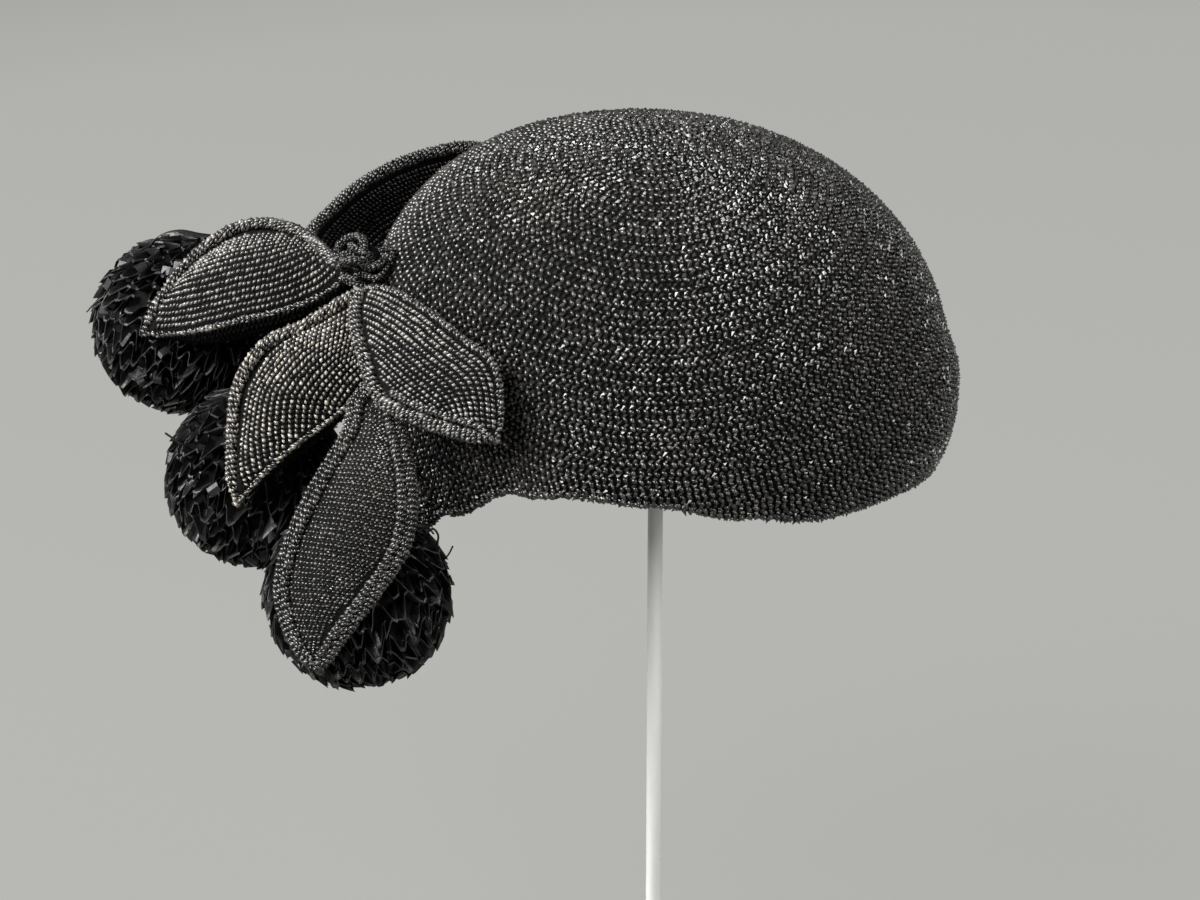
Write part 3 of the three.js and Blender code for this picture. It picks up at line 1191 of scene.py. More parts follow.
class Clearance:
    """Keeps points off the crown."""

    around: ClassVar[int] = 180
    down: ClassVar[int] = 80
    least: ClassVar[float] = 0.3

    def __init__(self, form: CrownForm) -> None:
        """Makes a fine copy of the crown's outside to measure from.

        Args:
            form: the crown.
        """
        turn = np.linspace(0, 2 * math.pi, self.around + 1)
        share = np.linspace(0.0, 1.0, self.down + 1)
        grid = form.outside(turn[:, None], share[None, :])
        points = [tuple(p) for p in grid.reshape(-1, 3)]
        row = self.down + 1
        starts = [i * row + j for i in range(self.around) for j in range(self.down)]
        faces = [(start, start + 1, start + row + 1, start + row) for start in starts]
        self.tree = BVHTree.FromPolygons(points, faces)
        self.middle = np.array([form.centre_x, 0.0, DATUM + 30.0])

    def height(self, point: np.ndarray) -> tuple[float, np.ndarray, np.ndarray]:
        """Measures how far a point is outside the crown.

        Args:
            point: the point.

        Returns:
            The distance, the nearest place on the crown and the way out.
        """
        near, normal, _, distance = self.tree.find_nearest(Vector(point))
        place, way = np.array(near), np.array(normal)
        gap = np.asarray(point) - place
        if way.dot(place - self.middle) < 0:
            way = -way
        return (distance if gap.dot(way) > 0 else -distance), place, way

    def clear(self, points: np.ndarray, least: float) -> np.ndarray:
        """Returns which points are at least that far outside the crown."""
        return np.array([self.height(point)[0] >= least for point in points])

    def push(self, work: Work) -> None:
        """Moves the vertices that are inside the crown, or too near to it, out to the least distance.

        Args:
            work: the bmesh that they are in.
        """
        for vert in work.verts:
            gap, place, way = self.height(np.array(vert.co))
            if gap < self.least:
                vert.co = place + way * self.least

    def above(self, x: float, y: float, z: float) -> float:
        """Returns the height of the crown's outside over a point within it."""
        hit = self.tree.ray_cast(Vector((x, y, z)), Vector((0, 0, 1)))[0]
        return hit.z if hit else z


# Parts of the cap


@dataclass(frozen=True)
class StitchLayer:
    """One layer of the crown's stitches, at a depth below its outer face."""

    name: str
    plan: RowPlan
    depth: float
    grain: Stamp
    size: tuple[float, float, float]  # half length, half width and height of a stitch
    lean: float
    tones: tuple[float, float]
    wobble: float
    stray: float = 0.0
    aside: float = 0.0
    ahead: float = 0.0
    smooth: bool = True
    inside: bool = False
    fine: int = 2  # how finely the sheet is measured


CROWN_ROWS = RowPlan(closed=True, slide=1.3)
CROWN_LAYERS = (
    StitchLayer(
        "crown_upper_stitches", CROWN_ROWS, 0.75, Stamp.peak(5), (1.58, 0.86, 1.08), -42, (1.6, 1.2), 15,
        stray=0.17,
    ),
    StitchLayer(
        "crown_valley_stitches", CROWN_ROWS, 0.85, Stamp.peak(4), (1.4, 0.84, 0.8), 40, (1.5, 1.5), 12,
        stray=0.2, aside=-CROWN_ROWS.pitch / 2, ahead=0.5, smooth=False,
    ),
    StitchLayer(
        "crown_inside_stitches", RowPlan(pitch=4.4, stitch=3.5, first=2.2, closed=True), 1.75,
        Stamp.pad(4, 0.55), (2.2, 1.35, 0.5), 40, (1.3, 2.0), 7, inside=True, fine=1,
    ),
)


@dataclass
class Crown:
    """The crown: a shell in the near-black painted-shade ground under rows of plait, outside and inside, and
    a wound edge.
    """

    form: CrownForm
    layers: tuple[StitchLayer, ...] = CROWN_LAYERS
    start: float = -70.0  # degrees round the row centre where stitches are counted from
    shell_depth: float = 1.25
    shell_wall: float = 0.5
    edge_rope: Rope = field(default_factory=lambda: Rope(pitch=2.9, stitch=2.3, lean=-50))
    edge_radius: float = 1.35
    edge_depth: float = 1.15
    edge_rise: float = 0.9
    seed: int = 11

    def span(self, count: int) -> np.ndarray:
        """Returns directions round the row centre, from where stitches are counted."""
        return np.radians(self.start + 180) + np.linspace(0, 2 * math.pi, count)

    def shell(self) -> None:
        """Builds the shell that shows between the stitches, near-black and nearly without gloss as painted
        shade for the gaps.
        """
        work = draped(CrownSheet(self.form, -self.shell_depth), self.span(145), np.linspace(0, 1, 57))
        # painted shade: the shell takes the near-black ground material
        shell = object_of("crown_shell", thickened(work, self.shell_wall), PaintedShadeFinish(), "straw")
        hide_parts("crown")

    def stitches(self, layer: StitchLayer, seed: int, finish: Finish) -> None:
        """Builds one layer of stitches.

        Args:
            layer: the layer.
            seed: seed of its small differences.
            finish: its straw.
        """
        rng = np.random.default_rng(seed)
        sheet = CrownSheet(self.form, -layer.depth)
        spans = self.span(720 * layer.fine + 1), np.linspace(0, 1, 200 * layer.fine + 1)
        at = layer.plan.rows(sheet, *spans, layer.aside, layer.ahead)
        at.out = -at.out if layer.inside else at.out
        tone = rng.beta(*layer.tones, len(at.point))
        if layer.stray:
            at.stray(rng, layer.stray)
        made = Gathering()
        made.add_stitches(
            layer.grain, at, np.array(layer.size), layer.lean, tone, rng, layer.wobble, layer.smooth
        )
        made.finish(layer.name, finish, "straw")

    def edge(self, finish: Finish, seed: int) -> None:
        """Builds the last row, wound over the lower edge.

        Args:
            finish: its straw.
            seed: seed of its small differences.
        """
        turn = np.linspace(0, 2 * math.pi, 721)
        low = np.ones_like(turn)
        line = self.form.outside(turn, low) - self.edge_depth * self.form.out(turn, low)
        line[:, 2] += self.edge_rise
        made = Gathering()
        self.edge_rope.wind(made, evened(line, 2.0), self.edge_radius, np.random.default_rng(seed))
        made.finish("crown_edge", finish, "straw")

    def build(self, finish: Finish) -> None:
        """Builds and dresses all of the crown.

        Args:
            finish: its straw.
        """
        self.shell()
        for count, layer in enumerate(self.layers):
            self.stitches(layer, self.seed + count, finish)
        self.edge(finish, self.seed + len(self.layers))


class Straw(Enum):
    """How far the lacquer of a leaf's straw is worn, with painted light on the lighter ones: the grey and the
    pale straw are lighter copies of the black for leaves that face the lamps, partly real wear and partly
    painted light.
    """

    BLACK = "hardly worn"
    # grey: lighter partly by real wear and partly by painted light, for leaves that face the lamps
    GREY_WORN_AND_LIT = "worn grey"
    # pale and brownish: partly real wear and partly painted light, for the leaf most in the light
    PALE_WORN_AND_LIT = "worn to the straw"


class RowsRun(Enum):
    """Which way the rows of a leaf's plait run."""

    ALONG_LEFT = "along the left edge"
    ALONG_RIGHT = "along the right edge"
    ACROSS = "from edge to edge"


@dataclass(frozen=True)
class Bead:
    """A wound bead beside a leaf's edge: its distance from the edge, its radius and how far it stands up.

    It runs from a first to a last share of the leaf's length, with a bare groove on its inner side.
    """

    inset: float
    radius: float
    lift: float = 0.6
    first: float = 0.0
    last: float = 1.0
    groove: float = 2.1

    def middle(self, width: np.ndarray) -> np.ndarray:
        """Returns how far its middle line is from the edge, where the leaf has that width."""
        return np.minimum(self.inset, 0.42 * width)

    def thick(self, width: np.ndarray) -> np.ndarray:
        """Returns its radius where the leaf has that width."""
        return np.clip(self.radius * width / (4.2 * self.inset), 0.9, self.radius)


@dataclass
class Leaf:
    """A leaf of plait: a sheet in the near-black painted-shade ground with stitches on both faces, wound
    beads along its edges.
    """

    name: str
    form: LeafForm
    run: RowsRun = RowsRun.ALONG_LEFT
    left_beads: tuple[Bead, ...] = (Bead(2.5, 2.5),)
    right_beads: tuple[Bead, ...] = (Bead(2.2, 2.2, 0.2),)
    curl: float = 0.0  # width of a strip that curls under beyond the right edge
    pitch: float = 2.55
    stitch: float = 1.95
    lean: float = 40.0
    sheet: float = 1.1
    # the grey straw is lighter than the black partly by wear and partly by painted light
    straw: Straw = Straw.GREY_WORN_AND_LIT
    seed: int = 21
    end: float = 0.985  # share of the length that the sheets reach
    low_stitches: tuple[float, float, float] = (0.38, 0.21, 0.26)  # sizes as shares of the pitch
    raised_stitches: tuple[float, float, float] = (0.47, 0.31, 0.42)
    rope: Rope = field(default_factory=lambda: Rope(2.05, 1.8, 46, 0.95))

    def __post_init__(self) -> None:
        """Makes the strip that curls under, where there is one."""
        self.fold = UnderFold(self.form, self.curl) if self.curl else None

    @staticmethod
    def margin(beads: tuple[Bead, ...]) -> float:
        """Returns how much of the leaf's width the beads of an edge take, with the groove beside them."""
        return max(bead.inset + bead.radius + bead.groove for bead in beads if bead.first == 0)

    def add_face(
        self, into: Gathering, surface: Surface, spans: tuple[np.ndarray, np.ndarray], plan: RowPlan,
        side: int, clear: Clearance, rng: np.random.Generator, shade: bool = False,
    ) -> None:
        """Adds the raised and the low stitches of one face.

        Args:
            into: the mesh.
            surface: what carries them.
            spans: values along and across the rows.
            plan: the rows.
            side: 1 for the face that the surface's normals point from, -1 for the other.
            clear: keeps them off the crown.
            rng: source of the small differences.
            shade: whether they all take the painted-shade ground.
        """
        for lift, aside, ahead, size, lean, deep in (
            (0.15, 0.0, 0.0, self.raised_stitches, self.lean, False),
            (0.0, -self.pitch / 2, 0.5, self.low_stitches, -self.lean, True),
        ):
            at = plan.rows(surface, *spans, aside, ahead)
            if self.run is RowsRun.ACROSS:
                at = at.kept(self.between_beads(at.point))
            at.out = side * at.out
            at.point = at.point + at.out * (self.sheet / 2 + lift)
            at = at.kept(clear.clear(at.point, 0.5))
            tone = rng.beta(1.9, 1.2, len(at.point))
            at.stray(rng, 0.1)
            grain = self.pitch * np.array(size)
            # painted shade: the low stitches, except where the rows run across, take the near-black ground
            dull = shade or (deep and self.run is not RowsRun.ACROSS)
            into.add_stitches(Stamp.peak(4), at, grain, side * lean, tone, rng, 12, not deep, dull)

    def between_beads(self, points: np.ndarray) -> np.ndarray:
        """Finds which points are clear of the beads of both edges.

        Args:
            points: the points.

        Returns:
            True for each point that is clear.
        """
        u = np.linspace(0, 1, 160)
        width = self.form.ribs(u)[3]
        kept = np.ones(len(points), bool)
        for edge, beads in ((self.form.left, self.left_beads), (self.form.right, self.right_beads)):
            reach = np.linalg.norm(edge.at(u)[None] - points[:, None], axis=-1)
            near = np.argmin(reach, axis=1)
            taken = np.max(
                [bead.middle(width) + bead.thick(width) + 0.35 * bead.groove for bead in beads], axis=0
            )
            kept &= reach[np.arange(len(points)), near] > taken[near]
        return kept

    def add_faces(self, into: Gathering, clear: Clearance, rng: np.random.Generator) -> None:
        """Adds the stitches of both faces, and of the strip that curls under.

        Args:
            into: the mesh.
            clear: keeps them outside the crown.
            rng: source of the small differences.
        """
        low, high = self.margin(self.left_beads), self.margin(self.right_beads)
        along, across = np.linspace(0.02, 0.97, 241), np.linspace(0.0, 1.0, 81)
        if self.run is RowsRun.ALONG_LEFT:
            surface, spans = self.form, (along, across)
            plan = RowPlan(self.pitch, self.stitch, low + self.pitch / 2, high, 0.4)
        elif self.run is RowsRun.ALONG_RIGHT:
            surface, spans = Recounted(self.form, across=False), (along, across)
            plan = RowPlan(self.pitch, self.stitch, high + self.pitch / 2, low, 0.4)
        else:
            surface, spans = Recounted(self.form, across=True), (across, along)
            plan = RowPlan(self.pitch, self.stitch, self.pitch / 2, 1.0, 0.4)
        sides = (-1, 1) if self.run is RowsRun.ACROSS else (1, -1)
        for side in sides:
            self.add_face(into, surface, spans, plan, side, clear, rng)
        if self.fold:
            plan = RowPlan(self.pitch, self.stitch, self.pitch * 0.9, 0.0, 0.4)
            for side in (1, -1):
                # painted shadow: the strip that curls under takes the near-black ground
                self.add_face(into, self.fold, (along, np.linspace(0, 1, 31)), plan, side, clear, rng, True)

    def add_beads(self, into: Gathering, clear: Clearance, rng: np.random.Generator) -> None:
        """Adds the wound beads of both edges.

        Args:
            into: the mesh.
            clear: keeps them outside the crown.
            rng: source of the small differences.
        """
        u = np.linspace(self.form.low, self.form.high, 60)
        left, across, up, width, bow = self.form.ribs(u)
        for way, edge, beads in (
            (1, left, self.left_beads), (-1, left + across * width[:, None], self.right_beads)
        ):
            for bead in beads:
                inset = bead.middle(width)
                radius = bead.thick(width)
                rise = self.form.arch(bow, inset / width) + bead.lift * np.clip(width / 12, 0, 1)
                path = edge + across * (way * inset)[:, None] + up * rise[:, None]
                part = (u >= bead.first) & (u <= bead.last)
                fine = evened(path[part], 1.6)
                size = np.interp(np.linspace(0, 1, len(fine)), np.linspace(0, 1, part.sum()), radius[part])
                replace(self.rope, lean=self.rope.lean * way).wind(into, fine, size, rng, clear)

    def build(self, finish: Finish, clear: Clearance) -> bpy.types.Object:
        """Builds and dresses the leaf.

        Args:
            finish: its straw.
            clear: keeps it off the crown.

        Returns:
            The piece, in place of the leaf's solid.
        """
        rng = np.random.default_rng(self.seed)
        made = Gathering()
        self.add_faces(made, clear, rng)
        sheets = [(self.form, np.linspace(0.05, 0.95, 17))]
        if self.fold:
            sheets.append((self.fold, np.linspace(0.0, 1.0, 9)))
        along = np.linspace(0.0, self.end, 41)
        for surface, across in sheets:
            work = thickened(draped(surface, along, across, self.sheet / 2), self.sheet)
            clear.push(work)
            # painted shade: the sheets take the near-black ground that shows in the grooves and gaps
            made.add_work(work, 0.0, shade=True)
        self.add_beads(made, clear, rng)
        piece = made.finish(f"{self.name}_plait", finish, "straw")
        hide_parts(self.name)
        return piece


@dataclass(frozen=True)
class Strand:
    """A loose end of straw: its points, its half width and whether it is flat."""

    path: tuple[Point, ...]
    half: float = 0.35
    flat: bool = False

    def add(self, into: Gathering) -> None:
        """Adds it to a mesh.

        Args:
            into: the mesh.
        """
        line = EdgeCurve(placed(np.array(self.path))).at(np.linspace(0, 1, 7 * len(self.path)))
        if not self.flat:
            into.add_work(tube(line, self.half, 5), 0.6)
            return
        _, across, _ = carried(line, np.array([0.2, -0.8, 0.4]))
        twist = np.linspace(-0.3, 1.2, len(line))[:, None]
        side = across * np.cos(twist) + np.cross(unit(np.gradient(line, axis=0)), across) * np.sin(twist)
        work = bmesh.new()
        bmesh.ops.create_grid(work, x_segments=len(line) - 1, y_segments=2, size=1)
        for vert in work.verts:
            i = round((vert.co.x + 1) / 2 * (len(line) - 1))
            vert.co = line[i] + side[i] * vert.co.y * self.half
        into.add_work(thickened(work, 0.3), 0.2)


@dataclass
class PleatedBall:
    """A ball wound with a ribbon that is folded to and fro and stands on its lower edge."""

    name: str
    at: Point
    radius: float = 36.5
    tip: float = 0.0
    spacing: float = 6.6
    fold: float = 3.0
    ribbon: float = 5.2
    spread: float = 2.9
    lean: float = 1.3
    ruffled: float = 1.0
    scraps: int = 0
    strands: tuple[Strand, ...] = ()
    seed: int = 31
    wall: float = 0.5
    scrap: tuple[float, float, float] = (3.3, 2.0, 2.6)

    def path(self) -> tuple[np.ndarray, np.ndarray]:
        """Winds the ribbon from pole to pole.

        Returns:
            Polar and turning angles of its folds.
        """
        polar, turn = [self.spacing / self.radius * 0.5], [0.0]
        while polar[-1] < math.pi - self.spacing / self.radius * 0.5:
            step = self.fold / (self.radius * max(math.sin(polar[-1]), 0.12))
            turn.append(turn[-1] + step)
            polar.append(polar[-1] + step * self.spacing / (2 * math.pi * self.radius))
        return np.array(polar), np.array(turn)

    def folded(self, rng: np.random.Generator) -> Work:
        """Folds the ribbon about the origin, with its crests rounded.

        Args:
            rng: source of the small differences.

        Returns:
            The ribbon.
        """
        polar, turn = self.path()
        folds = len(polar)
        wild = rng.normal(0, self.ruffled, (folds, 4))
        wild[:, 1:3] *= 1.5
        wild[:, 3] = rng.normal(0, 0.3 * self.ruffled, folds)
        side = np.where(np.arange(folds) % 2 == 0, 1.0, -1.0) * (1 + wild[:, 3])
        each = 4
        at = np.linspace(0, folds - 1, each * (folds - 1) + 1)
        polar, turn, *wild = (np.interp(at, np.arange(folds), row) for row in (polar, turn, *wild[:, :3].T))
        side = np.clip(1.9 * np.interp(at, np.arange(folds), side), -1.1, 1.1)[:, None]
        out = np.stack([np.sin(polar) * np.cos(turn), np.sin(polar) * np.sin(turn), np.cos(polar)], axis=-1)
        down = np.stack([np.cos(polar) * np.cos(turn), np.cos(polar) * np.sin(turn), -np.sin(polar)], axis=-1)
        along = np.cross(down, out)
        rise, slip, way = (row[:, None] for row in wild)
        foot = out * (self.radius - self.ribbon) + down * side * 1.2
        crest = self.radius - 0.6 + 0.35 * side + np.clip(rise, -1.5, 0.9)
        head = out * crest + down * (side * self.spread + self.lean + slip) + along * way * 0.9
        middle = (foot + head) / 2 + down * 0.5 + out * 0.3
        lip = head + out * 0.12 + down * 0.42 * np.sign(side)
        rows = np.stack([foot, middle, head, lip])
        work = bmesh.new()
        bmesh.ops.create_grid(work, x_segments=len(at) - 1, y_segments=3, size=1)
        for vert in work.verts:
            vert.co = rows[round((vert.co.y + 1) * 1.5), round((vert.co.x + 1) / 2 * (len(at) - 1))]
        return thickened(work, self.wall)

    def scraps_at(self, rng: np.random.Generator) -> Places:
        """Scatters the short bent ribbons.

        Args:
            rng: source of the small differences.

        Returns:
            Their places, about the origin.
        """
        z = rng.uniform(-1, 1, self.scraps)
        turn = rng.uniform(0, 2 * math.pi, self.scraps)
        wide = np.sqrt(1 - z * z)
        out = np.stack([wide * np.cos(turn), wide * np.sin(turn), z], axis=-1)
        along = unit(np.cross(out, rng.normal(0, 1, (self.scraps, 3))))
        return Places(out * (self.radius - 1.6), along, unit(out + 0.55 * rng.normal(0, 0.6, out.shape)))

    def build(self, finish: Finish) -> bpy.types.Object:
        """Builds and dresses the ball.

        Args:
            finish: its ribbon.

        Returns:
            The piece, in place of the ball's solid.
        """
        rng = np.random.default_rng(self.seed)
        made = Gathering()
        ribbon = self.folded(rng)
        heart = bmesh.new()
        bmesh.ops.create_icosphere(heart, subdivisions=4, radius=self.radius - self.ribbon + 0.6)
        # painted highlight: the ribbon's tone lightens the crests of its folds
        made.add_work(ribbon, self.worn(ribbon), smooth=False)
        # painted shade: the heart under the folds takes the near-black ground
        made.add_work(heart, 0.0, shade=True)
        if self.scraps:
            tone = 0.6 * rng.beta(1.2, 1.6, self.scraps)
            at, size = self.scraps_at(rng), np.array(self.scrap)
            made.add_stitches(Stamp.fold(), at, size, 0, tone, rng, wobble=16, smooth=False)
        tip = np.array(Matrix.Rotation(math.radians(self.tip), 3, "Y"))
        made.points = [points @ tip.T + placed(self.at) for points in made.points]
        for strand in self.strands:
            strand.add(made)
        piece = made.finish(f"{self.name}_ribbon", finish, "ribbon")
        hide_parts(self.name)
        return piece

    def worn(self, ribbon: Work) -> np.ndarray:
        """Returns a tone for each vertex of the folded ribbon, high along its outer edge, where it paints a
        highlight on the crests of the folds.
        """
        reach = np.array([vert.co.length for vert in ribbon.verts])
        return eased((reach - self.radius + 2.4) / 2.2)


@dataclass
class Knot:
    """The tangle of wound cord where the leaves meet."""

    at: Point = (-113.0, -24.0, 86.0)
    heart: float = 7.0
    spread: float = 8.5
    loops: int = 12
    loop: tuple[float, float] = (3.6, 6.6)  # least and most half width of a loop
    buckle: float = 1.8
    cord: float = 1.55
    rope: Rope = field(default_factory=lambda: Rope(1.5, 1.4, rise=0.42))
    off: float = 6.0
    seed: int = 41

    def build(self, finish: Finish, clear: Clearance) -> bpy.types.Object:
        """Builds and dresses the knot.

        Args:
            finish: its straw.
            clear: keeps it off the crown.

        Returns:
            The piece, in place of the knot's solid.
        """
        rng = np.random.default_rng(self.seed)
        made = Gathering()
        heart = bmesh.new()
        bmesh.ops.create_icosphere(heart, subdivisions=3, radius=self.heart)
        bmesh.ops.translate(heart, verts=heart.verts, vec=placed(self.at))
        clear.push(heart)
        # painted shade: the heart between the loops takes the near-black ground
        made.add_work(heart, 0.0, shade=True)
        turn = np.linspace(0, 2 * math.pi, 40)
        for k in range(self.loops):
            wide, tall = rng.uniform(*self.loop, 2)
            rise = self.buckle * np.sin(2 * turn + k)
            ring = np.stack([wide * np.cos(turn), tall * np.sin(turn), rise], axis=-1)
            spin = Matrix.Rotation(2.4 * k, 3, "Z") @ Matrix.Rotation(0.5 + 0.8 * k, 3, "X")
            away = unit(rng.normal(0, 1, 3)) * self.spread * rng.uniform(0.45, 1.0)
            away[1] = -abs(away[1]) * 0.6
            centre = placed(self.at) + away
            gap, _, out = clear.height(centre)
            path = ring @ np.array(spin).T + centre + out * max(0.0, self.off - gap)
            cord = self.cord * rng.uniform(0.75, 1.1)
            self.rope.wind(made, evened(path, 1.5), cord, rng, clear)
        piece = made.finish("knot_loops", finish, "straw")
        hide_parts("knot")
        return piece


@dataclass
class Stem:
    """A wound cord from a ball to the back of the crown."""

    name: str
    ball: Point
    path: tuple[Point, ...]
    radius: float = 1.5
    root: float = 33.0  # how far from the ball's middle it starts
    sunk: float = 0.5  # how far within the crown it ends
    seed: int = 51

    def build(self, finish: Finish, clear: Clearance) -> bpy.types.Object:
        """Builds and dresses the stem.

        Args:
            finish: its straw.
            clear: keeps it off the crown.

        Returns:
            The piece, in place of the stem's solid.
        """
        way = unit(np.array(self.path[0], float) - np.array(self.ball, float))
        root = np.array(self.ball) + way * self.root
        curve = EdgeCurve(placed(np.array([root, *self.path])))
        line = curve.at(np.linspace(0, 1, 60))
        gap = np.array([clear.height(point)[0] for point in line])
        line = line[: max(6, int(np.argmax(gap < -self.sunk)) or len(line))]
        made = Gathering()
        rng = np.random.default_rng(self.seed)
        Rope(pitch=2.0, stitch=1.7).wind(made, evened(line, 1.5), self.radius, rng, clear)
        piece = made.finish(f"{self.name}_cord", finish, "straw")
        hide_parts(self.name)
        return piece


# Stand


@dataclass
class Stand:
    """The rod, its round foot, and the padded block that carries the cap."""

    rod: float = 3.05
    foot: float = 80.0
    thick: float = 10.0
    rod_top: float = 357.0
    chamfer: float = 0.4
    rim: float = 2.0  # radius of the foot's rounded rim
    pad: float = 43.0
    taper: float = 5.5
    pad_side: float = 26.0  # height of its straight side
    pad_room: float = 3.4  # from its top to the outside of the crown
    gathers: int = 30

    def build_rod(self, finish: Finish) -> None:
        """Builds the rod, with a small chamfer at each end.

        Args:
            finish: its paint.
        """
        low, high, r, slope = self.thick + GAP, self.rod_top - GAP, self.rod, self.chamfer
        profile = [(0, low), (r - slope, low), (r, low + slope), (r, (low + high) / 2)]
        profile += [(r, high - slope), (r - slope, high), (0, high)]
        rod = object_of("rod", turned(profile, 40), finish, "rod")
        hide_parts("stand_rod")

    def build_foot(self, finish: Finish) -> None:
        """Builds the foot with a rounded rim and a collar ring that is turned into its top.

        Args:
            finish: its paint.
        """
        r, t, rim = self.foot, self.thick, self.rim
        turns = np.linspace(0, math.pi / 2, 7)
        arc = [(r - rim + rim * math.cos(a), t - rim + rim * math.sin(a)) for a in turns]
        profile = [(0, 0), (r - 1, 0), (r, 1), *arc, (r - 8, t), (12, t), (11.6, t - 0.3), (11.2, t), (0, t)]
        foot = object_of("foot", turned(profile, 128), finish, "rod")
        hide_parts("stand_base")

    def build_pad(self, finish: Finish, clear: Clearance) -> None:
        """Builds the cotton-covered block, gathered under its rim.

        Args:
            finish: its cloth.
            clear: tells how high the crown is over it.
        """
        low, inner, r = self.rod_top, self.pad - self.taper, self.pad
        profile = [(0, low + 0.6), (6, low + 0.4), (inner * 0.6, low + 0.25), (inner - 3, low + 0.5)]
        profile += [(inner, low + 2.2), (inner + 2.2, low + 8)]
        profile += [(r - 1.2, low + 15), (r, low + 20), (r - 1.2, low + 25)]
        profile += [(r * share, low + 30) for share in (0.9, 0.8, 0.68, 0.54, 0.4, 0.26, 0.13, 0.0)]
        work = turned(profile, 96)
        for vert in work.verts:
            x, y, z = vert.co
            reach, turn = math.hypot(x, y), math.atan2(y, x)
            if reach > 1:
                gather = math.sin(self.gathers * turn + 2 * math.sin(5 * turn))
                amount = 0.7 * min(1, max(0, (z - low) / 4)) * max(0.15, 1 - abs(z - low - 6) / 14)
                amount += 0.35 * max(0.0, 1 - abs(reach - 20) / 18) * (z < low + 1)
                vert.co.x, vert.co.y = x * (1 + amount * gather / reach), y * (1 + amount * gather / reach)
                vert.co.z += 0.15 * gather * (z < low + 1)
            roof = clear.above(vert.co.x, vert.co.y, low + 1) - self.pad_room
            if z > low + self.pad_side or vert.co.z > roof:
                vert.co.z = min(roof, low + 31.2) if z < low + self.pad_side else roof
        pad = object_of("pad_cover", work, finish, "pad")
        smooth = pad.modifiers.new("round", "SUBSURF")
        smooth.levels = smooth.render_levels = 1
        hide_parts("stand_pad")

    def build(self, metal: Finish, foot: Finish, cloth: Finish, clear: Clearance) -> None:
        """Builds and dresses the stand.

        Args:
            metal: paint of the rod.
            foot: paint of the foot.
            cloth: cover of the pad.
            clear: tells how high the crown is over the pad.
        """
        self.build_rod(metal)
        self.build_foot(foot)
        self.build_pad(cloth, clear)


# Studio


@dataclass
class Studio:
    """A paper sweep all round, made pale by a painted glow, soft boxes above and at the sides, and the
    camera, in metres.
    """

    floor: float = 3.2
    bend: float = 1.6
    wall: float = 3.0
    aim: Point = (-0.0223, 0.0, 0.255)
    distance: float = 1.333
    elevation: float = 20.0
    lens: float = 100.0
    facing: Point = (0.0, 0.0, 0.3)
    # name, place, width and height, watts
    boxes: tuple[tuple[str, Point, tuple[float, float], float], ...] = (
        ("box_front", (-1.45, -1.2, 1.95), (1.9, 1.4), 195),
        ("box_above", (0.3, 0.5, 2.3), (1.6, 1.2), 2),
        ("box_left", (-1.9, -0.5, 1.3), (1.0, 1.4), 70),
        ("box_right", (1.8, -0.9, 1.3), (0.9, 1.4), 50),
    )
    room: float = 0.1

    def sweep(self) -> None:
        """Builds the floor, which curves up to a wall all round."""
        floor = [(self.floor * share, 0.0) for share in (0.0, 0.15, 0.4, 0.7, 1.0)]
        turns = np.linspace(0.12, math.pi / 2, 12)
        bend = [(self.floor + self.bend * math.sin(a), self.bend * (1 - math.cos(a))) for a in turns]
        profile = [*floor, *bend, (self.floor + self.bend, self.wall)]
        work = turned([(r / MM, z / MM) for r, z in profile], 96)
        if sum(face.normal.z for face in work.faces) < 0:
            bmesh.ops.reverse_faces(work, faces=work.faces)
        object_of("paper_sweep", work, SweepFinish(), None)

    def box(self, name: str, at: tuple[float, ...], size: tuple[float, float], power: float) -> None:
        """Hangs a soft box that faces the cap.

        Args:
            name: its name.
            at: where its middle is, in metres.
            size: width and height in metres.
            power: watts.
        """
        light = bpy.data.lights.new(name, "AREA")
        light.shape, light.size, light.size_y, light.energy = "RECTANGLE", *size, power
        made = bpy.data.objects.new(name, light)
        made.location = at
        toward = Vector(self.facing) - Vector(at)
        made.rotation_euler = toward.to_track_quat("-Z", "Y").to_euler()
        made.visible_camera = False
        bpy.context.scene.collection.objects.link(made)

    def light(self) -> None:
        """Hangs the lights and sets the even light of the room."""
        for box in self.boxes:
            self.box(*box)
        world = bpy.data.worlds.new("room")
        world.use_nodes = True
        background = world.node_tree.nodes["Background"]
        background.inputs["Color"].default_value = (1, 1, 0.99, 1)
        background.inputs["Strength"].default_value = self.room
        bpy.context.scene.world = world
        bpy.context.scene.view_settings.view_transform = "Standard"

    def camera(self) -> None:
        """Sets the camera at the viewing angle, without depth of field."""
        tilt = math.radians(self.elevation)
        data = bpy.data.cameras.new("camera")
        data.lens = self.lens
        data.sensor_width = 36
        made = bpy.data.objects.new("camera", data)
        made.location = Vector(self.aim) + self.distance * Vector((0, -math.cos(tilt), math.sin(tilt)))
        made.rotation_euler = (math.pi / 2 - tilt, 0, 0)
        bpy.context.scene.collection.objects.link(made)
        bpy.context.scene.camera = made

    def build(self) -> None:
        """Sets up the studio."""
        self.sweep()
        self.light()
        self.camera()
